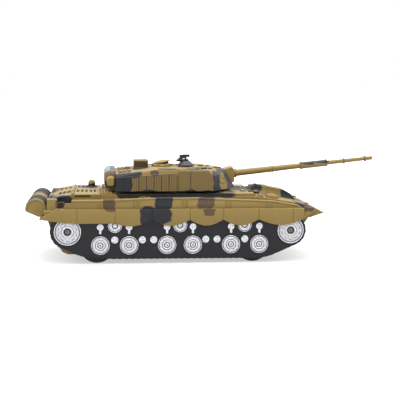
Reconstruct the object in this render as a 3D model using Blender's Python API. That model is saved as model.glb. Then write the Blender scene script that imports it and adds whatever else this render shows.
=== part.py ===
"""Toy radio-controlled tank, modelled as the pieces it comes apart into.

Frame: +X is forward, +Y is the tank's left, +Z is up.  The origin lies on the ground under the
middle of the whole model, from the back of the fuel drums to the muzzle.  Sizes are in millimetres
and become metres when a mesh is made.
"""
import math

import bmesh
import bpy
from mathutils import Vector

MM = 0.001
GAP = 0.3                # clearance between two pieces that touch
WALL = 2.0               # moulded wall of the hull and turret shells

# ---- hull -------------------------------------------------------------------------------------
HULL_LENGTH = 281.0      # rear plate to nose tip
HULL_REAR = -161.0
NOSE = HULL_REAR + HULL_LENGTH
HULL_WIDTH = 112.0       # over the hull sides
TUB_WIDTH = 72.0         # over the lower hull, between the two track fairings
FENDER_Z = 54.0          # underside of the fenders, where upper and lower hull part
FENDER_THICK = 1.5
FENDER_OVERHANG = 2.0    # fender edge beyond the hull side
SIDE_Z = 66.2            # highest point of the hull side's top edge
ROOF_Z = 69.2            # flat roof the turret turns on
ROOF_WIDTH = 92.0
REAR_ROOF_Z = 66.2       # lower roof the engine deck sits on
REAR_ROOF_END = -108.0
ROOF_FRONT = 48.0
NOSE_LENGTH = 28.0       # nose tip to the break of the glacis
NOSE_WIDTH = 100.0
NOSE_Z = 49.6
HUMP_WIDTH = 20.0        # driver's station and glacis ridge
HUMP_Z = 73.0
HUMP_REAR = 50.0
REAR_DROP = 4.2          # fall of the rear roof to the rear plate
# hull side's top edge between its ends, as (x, drop below SIDE_Z)
SIDE_EDGE = ((-110.0, 2.1), (-54.0, 0.0), (-10.0, 0.0), (23.0, 1.6), (64.0, 3.2))
SIDE_FRONT_DROP = 7.9
SIDE_REAR_STEP = 24.4    # rear plate to the full-height hull side
GLACIS_FALL = 9.4        # roof to the glacis break
PILLAR_Z = 22.0          # where the screw pillars of the two hull halves meet
PILLAR_R = 3.5
IDLER_BOSS_R = 3.6       # tub boss that takes a fairing screw

# ---- skirts, fairings and their wheel reliefs ---------------------------------------------------
SKIRT_THICK = 2.0
SKIRT_SEAMS = (-131.4, -93.8, -57.2, -19.2, 14.5, 50.5)
SKIRT_FRONT_SETBACK = 23.0
SKIRT_CUSP_Z = 44.5
SKIRT_FLAT_Z = 41.3
SKIRT_SCALLOP = 6.0      # depth of a scallop below its cusps
FLAP_TIP_X = -168.5
FLAP_TIP_Z = 46.4
FLAP_BEND_X = -151.0
FLAP_THICK = 1.6
FLAP_WIDTH = 20.0
FAIRING_BASE_Z = 5.0
FAIRING_HEEL = ((12.6, 3.4), (29.0, 1.0), (45.0, 0.2))  # (ahead of the rear idler, rise) of the ground run
FAIRING_TOE = ((30.0, -0.4), (20.0, 2.0))               # (behind the front idler, rise)
FAIRING_WALL = 1.6
FAIRING_PROUD = 0.6      # fairing face beyond the hull side
RELIEF = 1.2             # height of the moulded wheel faces
IDLER_R = 13.4
IDLER_Z = 32.8
IDLER_REAR_X = -141.0
IDLER_FRONT_SETBACK = 36.3
IDLER_REAR_MARGIN = 3.8
IDLER_FRONT_MARGIN = 2.4
IDLER_FRONT_X = NOSE - IDLER_FRONT_SETBACK
ROAD_R = 9.2
ROAD_Z = 19.0
ROAD_XS = (-108.6, -80.0, -42.0, -16.0, 22.7, 51.5)
ROLLER_R = 7.0
ROLLER_Z = 38.8
ROLLER_XS = (-94.0, -28.9, 36.5)
ARM_R = 3.4
ARM_Z = 37.3
ARM_FOOT_Z = 30.6
DOT_R = 3.6
DOT_Z = 24.4
DOT_XS = (-94.3, -66.8, -55.4, -3.0, 8.5, 36.7)

# ---- running wheels -----------------------------------------------------------------------------
WHEEL_R = 18.0
TYRE_WIDTH = 10.0
TYRE_DEPTH = 5.0
AXLE_R = 1.5
REAR_AXLE_X = -112.0
FRONT_AXLE_X = 46.0
AXLE_ABOVE_BELLY = 11.5  # the tub hangs from the axles
BELLY_Z = WHEEL_R - AXLE_ABOVE_BELLY

# ---- gears, motors and electrics ----------------------------------------------------------------
MODULE = 0.8
FINAL_TEETH = 20
SMALL_TEETH = 10
LARGE_TEETH = 30
GEAR_WIDTH = 3.0
COMPOUND_ANGLE = 50.0    # direction from the rear axle to the middle gear's shaft
MOTOR_ANGLE = 10.0       # direction from the middle gear's shaft to the motor
MOTOR_R = 7.75
MOTOR_LENGTH = 19.0
BATTERY_X = (-50.0, 8.0)
BATTERY_WIDTH = 38.0
BATTERY_HEIGHT = 17.0
DOOR_MARGIN = 3.0
DOOR_THICK = 0.9
DOOR_TONGUE = 8.0        # door beyond the battery at the screw's end
DOOR_CUP_R = 4.4         # cup that takes the door screw
DOOR_CUP_HEIGHT = 3.4
BOARD_X = (-62.0, 18.0)
BOARD_WIDTH = 56.0
BOARD_Z = 44.0
SWITCH_X = 30.0
SWITCH_TRAVEL = 4.0
SCREW_SHANK_R = 1.1
SCREW_HEAD_R = 2.7
SCREW_HEAD = 1.8

# ---- turret -------------------------------------------------------------------------------------
TURRET_X = -33.0         # ring centre
TURRET_RING_R = 26.0
RACE_HEIGHT = 2.0
TURRET_REAR = -93.0
TURRET_SHOULDER = 6.8    # where the sides turn into the cheeks
TURRET_WIDTH = 86.0
CHEEK_FRONT = 32.8
CHEEK_TOP = 20.0
CHEEK_WIDTH = 24.0
TURRET_HEIGHT = 21.5
TURRET_REAR_HEIGHT = 17.0
SHOULDER_HEIGHT = 15.4   # vertical part of the turret side
ROOF_BREAK_X = -52.0
PANEL_THICK = 2.0
PANEL_FRONT_HEIGHT = 18.9
PANEL_REAR_HEIGHT = 14.2
PANEL_END = -31.8
SLOT_WIDTH = 21.0

# ---- gun ----------------------------------------------------------------------------------------
TRUNNION_X = 5.0
TRUNNION_Z = 83.0
GUN_ELEVATION = 6.16
MANTLET_R = 27.2
GUN_LENGTH = 179.6       # trunnion to muzzle
BORE_R = 1.0
BORE_DEPTH = 12.0

# ---- roof fittings ------------------------------------------------------------------------------
CUPOLA_X = -42.0
CUPOLA_Y = 9.0
CUPOLA_R = 8.2
CUPOLA_HEIGHT = 5.6
MG_X = -18.0
MG_Y = 8.0
MG_BASE_R = 9.0
MG_BASE_HEIGHT = 5.2
SIGHT_X = (-73.7, -58.4)
SIGHT_Y = (-4.0, 14.0)
SIGHT_HEIGHT = 9.4
DRUM_R = 10.8
DRUM_LENGTH = 50.0
DRUM_Z = 55.3
DRUM_SPACE = 3.0
CAP_X = -118.0
CAP_Y = 28.0

# ---- sizes that follow from the ones above --------------------------------------------------------
HALF_HULL = HULL_WIDTH / 2
HALF_TUB = TUB_WIDTH / 2
HALF_FENDER = HALF_HULL + FENDER_OVERHANG
FENDER_TOP = FENDER_Z + FENDER_THICK
SKIRT_IN = HALF_FENDER + GAP
SKIRT_OUT = SKIRT_IN + SKIRT_THICK
SKIRT_FRONT = NOSE - SKIRT_FRONT_SETBACK
FAIRING_IN = HALF_TUB + GAP
FAIRING_OUT = HALF_HULL + FAIRING_PROUD
FAIRING_FACE = FAIRING_OUT - FAIRING_WALL
FAIRING_TOP = FENDER_Z - GAP
WELL_FLOOR = FAIRING_FACE - 1.2
WELL_R = SCREW_HEAD_R + 0.9
TYRE_IN = (FAIRING_IN + FAIRING_FACE - TYRE_WIDTH) / 2
TYRE_OUT = TYRE_IN + TYRE_WIDTH
FLOOR_Z = BELLY_Z + WALL
TUB_INNER = HALF_TUB - WALL
FINAL_R = FINAL_TEETH * MODULE / 2
SMALL_R = SMALL_TEETH * MODULE / 2
LARGE_R = LARGE_TEETH * MODULE / 2
FINAL_OUT = TUB_INNER - 1.0
FINAL_IN = FINAL_OUT - GEAR_WIDTH
LARGE_OUT = FINAL_IN - 1.6
LARGE_IN = LARGE_OUT - GEAR_WIDTH
FRAME_OUT = LARGE_IN - 0.7
FRAME_IN = FRAME_OUT - 1.5
MOTOR_OUT = FRAME_IN - GAP
DECK_TOP = REAR_ROOF_Z + 3.5
RACE_TOP = ROOF_Z + RACE_HEIGHT
TURRET_Z = RACE_TOP + GAP
TURRET_ROOF = TURRET_Z + TURRET_HEIGHT
TURRET_REAR_ROOF = TURRET_Z + TURRET_REAR_HEIGHT
HALF_TURRET = TURRET_WIDTH / 2
MG_TOP = TURRET_ROOF + GAP + MG_BASE_HEIGHT
DRUM_X = HULL_REAR - GAP - DRUM_R
BATTERY_Z = FLOOR_Z + GAP
DOOR_SCREW_X = BATTERY_X[1] + DOOR_TONGUE - 1.0

FINISHES = {
    "tan": ((0.335, 0.240, 0.082), 0.45, 0.0),
    "brown": ((0.156, 0.107, 0.060), 0.50, 0.0),
    "black": ((0.030, 0.031, 0.034), 0.40, 0.0),
    "rubber": ((0.018, 0.018, 0.018), 0.85, 0.0),
    "steel": ((0.560, 0.570, 0.580), 0.30, 1.0),
    "white": ((0.720, 0.710, 0.670), 0.45, 0.0),
    "green": ((0.030, 0.130, 0.060), 0.50, 0.0),
    "grey": ((0.120, 0.135, 0.150), 0.45, 0.0),
    "cell": ((0.090, 0.200, 0.420), 0.40, 0.0),
}


# ---- mesh helpers ---------------------------------------------------------------------------------
def finish(obj, name):
    """Give an object its own plastic, rubber or metal."""
    colour, roughness, metallic = FINISHES[name]
    material = bpy.data.materials.new(obj.name)
    material.use_nodes = True
    shader = material.node_tree.nodes["Principled BSDF"]
    shader.inputs["Base Color"].default_value = (*colour, 1.0)
    shader.inputs["Roughness"].default_value = roughness
    shader.inputs["Metallic"].default_value = metallic
    obj.data.materials.clear()
    obj.data.materials.append(material)
    return obj


def object_from(bm, name):
    """Turn a bmesh in millimetres into a scene object in metres, with its faces pointing out."""
    bmesh.ops.recalc_face_normals(bm, faces=bm.faces)
    bmesh.ops.scale(bm, vec=(MM, MM, MM), verts=bm.verts)
    mesh = bpy.data.meshes.new(name)
    bm.to_mesh(mesh)
    bm.free()
    obj = bpy.data.objects.new(name, mesh)
    bpy.context.scene.collection.objects.link(obj)
    return obj


def place(u, v, w, axis):
    """A point from outline coordinates u, v and the height w along axis X, Y or Z."""
    return {"X": (w, u, v), "Y": (u, w, v), "Z": (u, v, w)}[axis]


def prism(outline, low, high, axis="Y", name="tool"):
    """Extrude a closed outline: (x, z) along Y, (x, y) along Z or (y, z) along X."""
    bm = bmesh.new()
    near = [bm.verts.new(place(u, v, low, axis)) for u, v in outline]
    far = [bm.verts.new(place(u, v, high, axis)) for u, v in outline]
    bm.faces.new(near)
    bm.faces.new(far)
    for i in range(len(outline)):
        j = (i + 1) % len(outline)
        bm.faces.new((near[i], near[j], far[j], far[i]))
    return object_from(bm, name)


def block(xs, ys, zs, name="tool"):
    """A rectangular block between pairs of limits."""
    outline = ((xs[0], zs[0]), (xs[1], zs[0]), (xs[1], zs[1]), (xs[0], zs[1]))
    return prism(outline, ys[0], ys[1], "Y", name)


def stacked(rings, name="tool"):
    """A solid through rings of equal vertex count, closed at both ends."""
    bm = bmesh.new()
    loops = [[bm.verts.new(point) for point in ring] for ring in rings]
    bm.faces.new(loops[0])
    bm.faces.new(loops[-1])
    count = len(loops[0])
    for lower, upper in zip(loops, loops[1:]):
        for i in range(count):
            j = (i + 1) % count
            bm.faces.new((lower[i], lower[j], upper[j], upper[i]))
    return object_from(bm, name)


def turned(profile, segments, centre=(0.0, 0.0), axis="Z", ring=False, name="tool"):
    """Turn a profile of (radius, height) points about an axis through centre.

    A radius of zero closes the solid in a pole.  A ring's profile is a closed loop instead.
    """
    bm = bmesh.new()
    steps = [2 * math.pi * k / segments for k in range(segments)]
    loops = []
    for radius, height in profile:
        if radius == 0:
            loops.append([bm.verts.new(place(centre[0], centre[1], height, axis))])
            continue
        loops.append([bm.verts.new(place(centre[0] + radius * math.cos(a),
                                         centre[1] + radius * math.sin(a), height, axis))
                      for a in steps])
    pairs = list(zip(loops, loops[1:]))
    if ring:
        pairs.append((loops[-1], loops[0]))
    for lower, upper in pairs:
        for k in range(segments):
            m = (k + 1) % segments
            corners = [lower[k % len(lower)], lower[m % len(lower)],
                       upper[m % len(upper)], upper[k % len(upper)]]
            bm.faces.new(list(dict.fromkeys(corners)))
    return object_from(bm, name)


def rod(radius, low, high, centre, axis="Y", segments=16, name="tool"):
    """A plain round bar."""
    circle = arc(centre, radius, 0.0, 360.0 * (segments - 1) / segments, segments)
    return prism(circle, low, high, axis, name)


def arc(centre, radius, start, end, count):
    """Points along an arc in degrees, both ends included."""
    angles = [math.radians(start + (end - start) * k / (count - 1)) for k in range(count)]
    return [(centre[0] + radius * math.cos(a), centre[1] + radius * math.sin(a)) for a in angles]


def inset(outline, distance):
    """Move every side of an anticlockwise outline inwards by one distance."""
    result = []
    for i, here in enumerate(outline):
        before = Vector(outline[i - 1])
        after = Vector(outline[(i + 1) % len(outline)])
        first = (Vector(here) - before).normalized()
        second = (after - Vector(here)).normalized()
        normal_one = Vector((-first.y, first.x))
        normal_two = Vector((-second.y, second.x))
        mitre = (normal_one + normal_two) / (1 + normal_one.dot(normal_two))
        result.append(tuple(Vector(here) + mitre * distance))
    return result


def combine(target, tools, operation):
    """Apply one exact Boolean for each tool and remove the tool."""
    for tool in tools:
        modifier = target.modifiers.new("cut", "BOOLEAN")
        modifier.operation = operation
        modifier.solver = "EXACT"
        modifier.object = tool
        graph = bpy.context.evaluated_depsgraph_get()
        mesh = bpy.data.meshes.new_from_object(target.evaluated_get(graph))
        target.modifiers.clear()
        target.data = mesh
        bpy.data.objects.remove(tool)
    return target


def unite(target, *tools):
    return combine(target, tools, "UNION")


def cut(target, *tools):
    return combine(target, tools, "DIFFERENCE")


def named(obj, name, finish_name, smooth=False):
    """Name a finished piece, give it its material and shade it."""
    obj.name = name
    obj.data.name = name
    finish(obj, finish_name)
    if smooth:
        obj.data.shade_smooth()
        obj.data.set_sharp_from_angle(angle=math.radians(35))
    return obj


def pivot(name, location, turn_y=0.0):
    """An empty on a joint's axis, which carries the pieces that move with it."""
    empty = bpy.data.objects.new(name, None)
    empty.location = Vector(location) * MM
    empty.rotation_euler = (0.0, math.radians(turn_y), 0.0)
    bpy.context.scene.collection.objects.link(empty)
    return empty


def carry(empty, *pieces, local=False):
    """Parent pieces to a pivot; pieces drawn in place stay where they are."""
    bpy.context.view_layer.update()
    for piece in pieces:
        piece.parent = empty
        if not local:
            piece.matrix_parent_inverse = empty.matrix_world.inverted()


def sides():
    """The two sides of the tank with the sign of their Y."""
    return (("right", -1), ("left", 1))


def span(sign, inner, outer):
    """Limits in Y, lowest first, of what reaches from inner to outer on one side of the tank."""
    return tuple(sorted((sign * inner, sign * outer)))


# ---- hull -------------------------------------------------------------------------------------
def side_line():
    """Top edge of the hull side from the rear step to the front, as (x, z)."""
    ends = [(HULL_REAR + SIDE_REAR_STEP, SIDE_EDGE[0][1])] + list(SIDE_EDGE)
    ends.append((NOSE - NOSE_LENGTH, SIDE_FRONT_DROP))
    return [(x, SIDE_Z - drop) for x, drop in ends]


def glacis_line():
    """Sloping front plate from the roof to the nose tip, as (x, z)."""
    return [(ROOF_FRONT + 2.0, ROOF_Z - 2.6), (NOSE - NOSE_LENGTH, ROOF_Z - GLACIS_FALL),
            (NOSE - 11.0, NOSE_Z + 5.6), (NOSE, NOSE_Z)]


def parting_front():
    """Slanted joint between the nose and the lower bow, as (x, z) from the fender down."""
    return [(NOSE - 22.0, FENDER_Z), (NOSE - 15.5, NOSE_Z - 5.1)]


def fender_flap(sign):
    """Sloping mudguard behind the rear idler."""
    outline = [(FLAP_BEND_X + 7.0, FENDER_Z), (FLAP_BEND_X + 7.0, FENDER_TOP),
               (FLAP_BEND_X, FENDER_TOP + 1.6), (FLAP_TIP_X, FLAP_TIP_Z),
               (FLAP_TIP_X + 1.0, FLAP_TIP_Z - FLAP_THICK), (FLAP_BEND_X, FENDER_TOP - FLAP_THICK)]
    return prism(outline, *span(sign, HALF_FENDER - FLAP_WIDTH, HALF_FENDER))


def upper_hull():
    front = parting_front()
    bottom = [(HULL_REAR, FENDER_Z)]
    recess = [(HULL_REAR, SIDE_Z - 0.9), (HULL_REAR + 10.0, SIDE_Z - 0.9),
              (HULL_REAR + 10.0, SIDE_Z - 3.7), (HULL_REAR + 17.0, SIDE_Z - 3.7),
              (HULL_REAR + 17.0, SIDE_Z - 5.1), (HULL_REAR + SIDE_REAR_STEP - 0.9, SIDE_Z - 5.1)]
    side = bottom + recess + side_line() + [(SKIRT_FRONT, FENDER_TOP), (SKIRT_FRONT, FENDER_Z)]
    shell = prism(side, -HALF_HULL, HALF_HULL)
    well = [(HULL_REAR - 1.0, FENDER_Z + 3.0), (REAR_ROOF_END, FENDER_Z + 3.0),
            (REAR_ROOF_END, DECK_TOP), (HULL_REAR - 1.0, DECK_TOP)]
    cut(shell, prism(well, -ROOF_WIDTH / 2 - GAP, ROOF_WIDTH / 2 + GAP))
    centre = bottom + [(HULL_REAR, REAR_ROOF_Z - REAR_DROP), (HULL_REAR + 24.0, REAR_ROOF_Z),
                       (REAR_ROOF_END, REAR_ROOF_Z), (REAR_ROOF_END, ROOF_Z), (ROOF_FRONT, ROOF_Z),
                       (ROOF_FRONT + 2.0, ROOF_Z - 2.6), (ROOF_FRONT + 2.0, FENDER_Z)]
    nose = [(0.0, FENDER_Z), (0.0, ROOF_Z - 3.4)] + glacis_line() + list(reversed(front))
    hump = [(HUMP_REAR, ROOF_Z - 6.0), (HUMP_REAR, HUMP_Z), (HUMP_REAR + 16.0, HUMP_Z - 0.4),
            (NOSE - 35.0, HUMP_Z - 4.0), (NOSE - 27.0, HUMP_Z - 8.5), (NOSE - 21.5, HUMP_Z - 15.5)]
    unite(shell, prism(centre, -ROOF_WIDTH / 2, ROOF_WIDTH / 2),
          prism(nose, -NOSE_WIDTH / 2, NOSE_WIDTH / 2),
          prism(hump, -HUMP_WIDTH / 2, HUMP_WIDTH / 2),
          block((HULL_REAR + 10.0, SKIRT_FRONT), (-HALF_FENDER, HALF_FENDER), (FENDER_Z, FENDER_TOP)),
          fender_flap(-1), fender_flap(1),
          rod(TURRET_RING_R + 7.0, ROOF_Z - 1.0, RACE_TOP, (TURRET_X, 0.0), "Z", 40))
    # hollow it out: the sponsons keep a floor, the middle is open to the lower hull
    low = FENDER_Z - 20.0
    inner_side = [(HULL_REAR + SIDE_REAR_STEP, FENDER_TOP)] + [(x, z - WALL) for x, z in side_line()]
    inner_side += [(SKIRT_FRONT - 8.0, FENDER_TOP)]
    inner_centre = [(HULL_REAR + WALL, low), (HULL_REAR + WALL, REAR_ROOF_Z - REAR_DROP - WALL),
                    (HULL_REAR + 24.0, REAR_ROOF_Z - WALL), (REAR_ROOF_END + WALL, REAR_ROOF_Z - WALL),
                    (REAR_ROOF_END + WALL, ROOF_Z - WALL), (ROOF_FRONT - 1.0, ROOF_Z - WALL),
                    (ROOF_FRONT + 1.0, ROOF_Z - 2.6 - WALL),
                    (NOSE - NOSE_LENGTH - 0.5, ROOF_Z - GLACIS_FALL - WALL),
                    (NOSE - 22.0 - WALL, FENDER_Z), (NOSE - 22.0 - WALL, low)]
    roof_bay = [(REAR_ROOF_END + WALL, FENDER_TOP), (REAR_ROOF_END + WALL, ROOF_Z - WALL),
                (ROOF_FRONT - 1.0, ROOF_Z - WALL), (ROOF_FRONT - 1.0, FENDER_TOP)]
    cut(shell, prism(inner_side, WALL - HALF_HULL, HALF_HULL - WALL),
        prism(inner_centre, -TUB_INNER, TUB_INNER),
        prism(roof_bay, WALL - ROOF_WIDTH / 2, ROOF_WIDTH / 2 - WALL),
        rod(TURRET_RING_R + GAP, ROOF_Z - 10.0, RACE_TOP + 5.0, (TURRET_X, 0.0), "Z", 40))
    for sign in (-1, 1):
        pocket = span(sign, HALF_HULL - 4.0, HALF_HULL + 5.0)
        cut(shell, block((HULL_REAR + 10.8, HULL_REAR + 16.4), pocket, (FENDER_TOP + 1.0, SIDE_Z - 4.7)))
    for x, top in hull_pillars():
        unite(shell, rod(PILLAR_R, PILLAR_Z + GAP, top, (x, 0.0), "Z", 12))
        cut(shell, rod(SCREW_SHANK_R + GAP, PILLAR_Z, PILLAR_Z + 16.0, (x, 0.0), "Z", 8))
    return named(shell, "upper_hull", "tan")


def hull_pillars():
    """Screw pillars as (x, height that reaches into the roof)."""
    return ((HULL_REAR + 26.0, REAR_ROOF_Z - 1.0), (NOSE - 50.0, ROOF_Z - 6.2))


def lower_hull():
    front = parting_front()
    outline = [(HULL_REAR + 20.0, BELLY_Z), (NOSE - 44.0, BELLY_Z), (NOSE - 36.0, BELLY_Z + 3.5),
               (NOSE - 18.5, NOSE_Z - 17.6), (front[1][0] - GAP, front[1][1]),
               (front[0][0] - GAP, FENDER_Z - GAP), (HULL_REAR, FENDER_Z - GAP),
               (HULL_REAR - 0.4, FENDER_Z - 12.9), (HULL_REAR + 5.1, BELLY_Z + 15.7),
               (HULL_REAR + 14.2, BELLY_Z + 2.4)]
    shell = prism(outline, -HALF_TUB, HALF_TUB)
    hollow = inset(outline, WALL)
    top = [(x, z if z < FENDER_Z - 5.0 else FENDER_Z + 10.0) for x, z in hollow]
    cut(shell, prism(top, -TUB_INNER, TUB_INNER))
    for sign in (-1, 1):
        for x in (IDLER_REAR_X, IDLER_FRONT_X):
            boss = span(sign, TUB_INNER + 0.5, WELL_FLOOR - GAP)
            bore = span(sign, TUB_INNER + 4.0, WELL_FLOOR + 5.0)
            unite(shell, rod(IDLER_BOSS_R, *boss, (x, IDLER_Z), "Y", 12))
            cut(shell, rod(SCREW_SHANK_R + GAP, *bore, (x, IDLER_Z), "Y", 8))
        wall = span(sign, TUB_INNER - 1.0, HALF_TUB + 1.0)
        for x in (REAR_AXLE_X, FRONT_AXLE_X):
            cut(shell, rod(AXLE_R + GAP, *wall, (x, WHEEL_R), "Y", 12))
        x, z = compound_centre()
        cut(shell, rod(AXLE_R + GAP, *wall, (x, z), "Y", 12))
        for x in (BOARD_X[0] + 4.0, BOARD_X[1] - 4.0):
            post = (x, sign * (BOARD_WIDTH / 2 - 4.0))
            unite(shell, rod(2.0, FLOOR_Z - 1.0, BOARD_Z - GAP, post, "Z", 8))
    for x, _ in hull_pillars():
        unite(shell, rod(4.6, FLOOR_Z - 1.0, PILLAR_Z, (x, 0.0), "Z", 12))
        cut(shell, rod(SCREW_HEAD_R + 2 * GAP, BELLY_Z - 1.0, BELLY_Z + 4.5, (x, 0.0), "Z", 12),
            rod(SCREW_SHANK_R + GAP, BELLY_Z, PILLAR_Z + 1.0, (x, 0.0), "Z", 8))
    half_door = BATTERY_WIDTH / 2 + DOOR_MARGIN
    cup_top = BELLY_Z + DOOR_CUP_HEIGHT + GAP
    unite(shell, rod(DOOR_CUP_R + 1.5, FLOOR_Z - 1.0, cup_top + 5.0, (DOOR_SCREW_X, 0.0), "Z", 14))
    cut(shell,
        block((BATTERY_X[0] - GAP, BATTERY_X[1] + GAP), (-BATTERY_WIDTH / 2 - GAP, BATTERY_WIDTH / 2 + GAP),
              (BELLY_Z - 1.0, FLOOR_Z + 1.0)),
        block((BATTERY_X[0] - DOOR_MARGIN - GAP, BATTERY_X[1] + DOOR_MARGIN + DOOR_TONGUE + GAP),
              (-half_door - GAP, half_door + GAP), (BELLY_Z - 1.0, BELLY_Z + DOOR_THICK + GAP)),
        rod(DOOR_CUP_R + GAP, BELLY_Z - 1.0, cup_top, (DOOR_SCREW_X, 0.0), "Z", 14),
        rod(SCREW_SHANK_R + GAP, BELLY_Z, cup_top + 6.0, (DOOR_SCREW_X, 0.0), "Z", 8),
        block((SWITCH_X - 3.0 - GAP, SWITCH_X + 3.0 + SWITCH_TRAVEL + GAP), (-2.0 - GAP, 2.0 + GAP),
              (BELLY_Z - 1.0, FLOOR_Z + 1.0)))
    return named(shell, "lower_hull", "tan")


def engine_deck():
    base = REAR_ROOF_Z + GAP
    outline = [(HULL_REAR, base - REAR_DROP), (HULL_REAR + 24.0, base), (REAR_ROOF_END - GAP, base),
               (REAR_ROOF_END - GAP, DECK_TOP), (HULL_REAR + 24.0, DECK_TOP),
               (HULL_REAR, DECK_TOP - REAR_DROP - 0.3)]
    return named(prism(outline, -ROOF_WIDTH / 2, ROOF_WIDTH / 2), "engine_deck", "tan")


def skirt_outline():
    """Skirt edge: straight over the rear panels, then one scallop for each seam-to-seam panel."""
    points = [(FLAP_TIP_X, FLAP_TIP_Z), (FLAP_TIP_X + 4.5, FLAP_TIP_Z - 1.4),
              (FLAP_BEND_X - 9.6, SKIRT_CUSP_Z),
              (FLAP_BEND_X + 6.8, SKIRT_FLAT_Z + 0.5), (SKIRT_SEAMS[0], SKIRT_FLAT_Z)]
    ends = SKIRT_SEAMS[1:] + (SKIRT_FRONT,)
    for i in range(len(ends) - 1):
        start_z = SKIRT_FLAT_Z if i == 0 else SKIRT_CUSP_Z
        steps = 8
        for k in range(steps):
            t = k / steps
            level = start_z + (SKIRT_CUSP_Z - start_z) * t
            depth = (SKIRT_SCALLOP - (SKIRT_CUSP_Z - start_z) / 2) * math.sin(math.pi * t)
            points.append((ends[i] + (ends[i + 1] - ends[i]) * t, level - depth))
    points += [(SKIRT_FRONT, SKIRT_CUSP_Z - 1.0), (SKIRT_FRONT, FENDER_TOP),
               (FLAP_BEND_X + 7.0, FENDER_TOP), (FLAP_BEND_X, FENDER_TOP + 1.6)]
    return points


def skirt(side, sign):
    plate = prism(skirt_outline(), *span(sign, SKIRT_IN, SKIRT_OUT))
    return named(plate, "skirt_" + side, "tan")


def fairing_outline():
    """Edge of the moulded track: round both idlers, straight along the ground run."""
    rear_r = IDLER_R + IDLER_REAR_MARGIN
    front_r = IDLER_R + IDLER_FRONT_MARGIN
    points = arc((IDLER_REAR_X, IDLER_Z), rear_r, 150.0, 240.0, 8)
    points += [(IDLER_REAR_X + ahead, FAIRING_BASE_Z + rise) for ahead, rise in FAIRING_HEEL]
    points += [(IDLER_FRONT_X - behind, FAIRING_BASE_Z + rise) for behind, rise in FAIRING_TOE]
    points += arc((IDLER_FRONT_X, IDLER_Z), front_r, -64.0, 32.0, 8)
    points += [(IDLER_FRONT_X + 10.0, FAIRING_TOP), (FLAP_BEND_X + 9.0, FAIRING_TOP),
               (FLAP_BEND_X + 2.0, FAIRING_TOP - 3.0)]
    return points


def relief_shapes(low, high):
    """Raised wheel faces, suspension arms and bolts on the fairing's face."""
    shapes = [rod(IDLER_R, low, high, (x, IDLER_Z), "Y", 24) for x in (IDLER_REAR_X, IDLER_FRONT_X)]
    shapes += [rod(ROAD_R, low, high, (x, ROAD_Z), "Y", 18) for x in ROAD_XS]
    shapes += [rod(ROLLER_R, low, high, (x, ROLLER_Z), "Y", 14) for x in ROLLER_XS]
    shapes += [rod(DOT_R, low, high, (x, DOT_Z), "Y", 8) for x in DOT_XS]
    for x in ROAD_XS:
        outline = arc((x, ARM_Z), ARM_R, -55.0, 235.0, 8)
        outline += [(x - 1.2, ARM_FOOT_Z), (x + 1.2, ARM_FOOT_Z)]
        shapes.append(prism(outline, low, high))
    return shapes


def track_fairing(side, sign):
    outline = fairing_outline()
    shell = prism(outline, *span(sign, FAIRING_IN, FAIRING_OUT))
    inner = inset(outline, FAIRING_WALL)
    cut(shell, prism(inner, *span(sign, FAIRING_IN - 1.0, FAIRING_FACE)))
    unite(shell, *relief_shapes(*span(sign, FAIRING_OUT - 0.5, FAIRING_OUT + RELIEF)))
    for x in (IDLER_REAR_X, IDLER_FRONT_X):
        centre = (x, IDLER_Z)
        unite(shell, rod(WELL_R + 1.5, *span(sign, WELL_FLOOR, FAIRING_FACE + 0.5), centre, "Y", 14))
        cut(shell, rod(WELL_R, *span(sign, WELL_FLOOR + 1.4, FAIRING_OUT + 5.0), centre, "Y", 14),
            rod(SCREW_SHANK_R + GAP, *span(sign, WELL_FLOOR - 1.0, FAIRING_OUT), centre, "Y", 8))
    for x in (REAR_AXLE_X, FRONT_AXLE_X):
        slot = span(sign, TYRE_IN - 1.0, TYRE_OUT + 1.0)
        cut(shell, block((x - WHEEL_R - 1.5, x + WHEEL_R + 1.5), slot, (-1.0, WHEEL_R)))
    return named(shell, "track_fairing_" + side, "black")


def screw(name, centre, axis, head_at, sign, length):
    """Pan-head screw whose head's underside is at head_at; the shank runs towards -sign."""
    ends = sorted((head_at, head_at + sign * SCREW_HEAD))
    piece = rod(SCREW_HEAD_R, *ends, centre, axis, 12)
    shank = sorted((head_at + sign * 0.5, head_at - sign * length))
    unite(piece, rod(SCREW_SHANK_R, *shank, centre, axis, 8))
    return named(piece, name, "steel", smooth=True)


def fasteners():
    for side, sign in sides():
        seat = sign * (WELL_FLOOR + 1.4 + GAP)
        for end, x in (("rear", IDLER_REAR_X), ("front", IDLER_FRONT_X)):
            screw(f"fairing_screw_{end}_{side}", (x, IDLER_Z), "Y", seat, sign, 12.0)
    for end, (x, _) in zip(("rear", "front"), hull_pillars()):
        screw("hull_screw_" + end, (x, 0.0), "Z", BELLY_Z + 4.2, -1, 24.0)
    screw("battery_door_screw", (DOOR_SCREW_X, 0.0), "Z", BELLY_Z + SCREW_HEAD + GAP, -1, 6.0)


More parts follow.
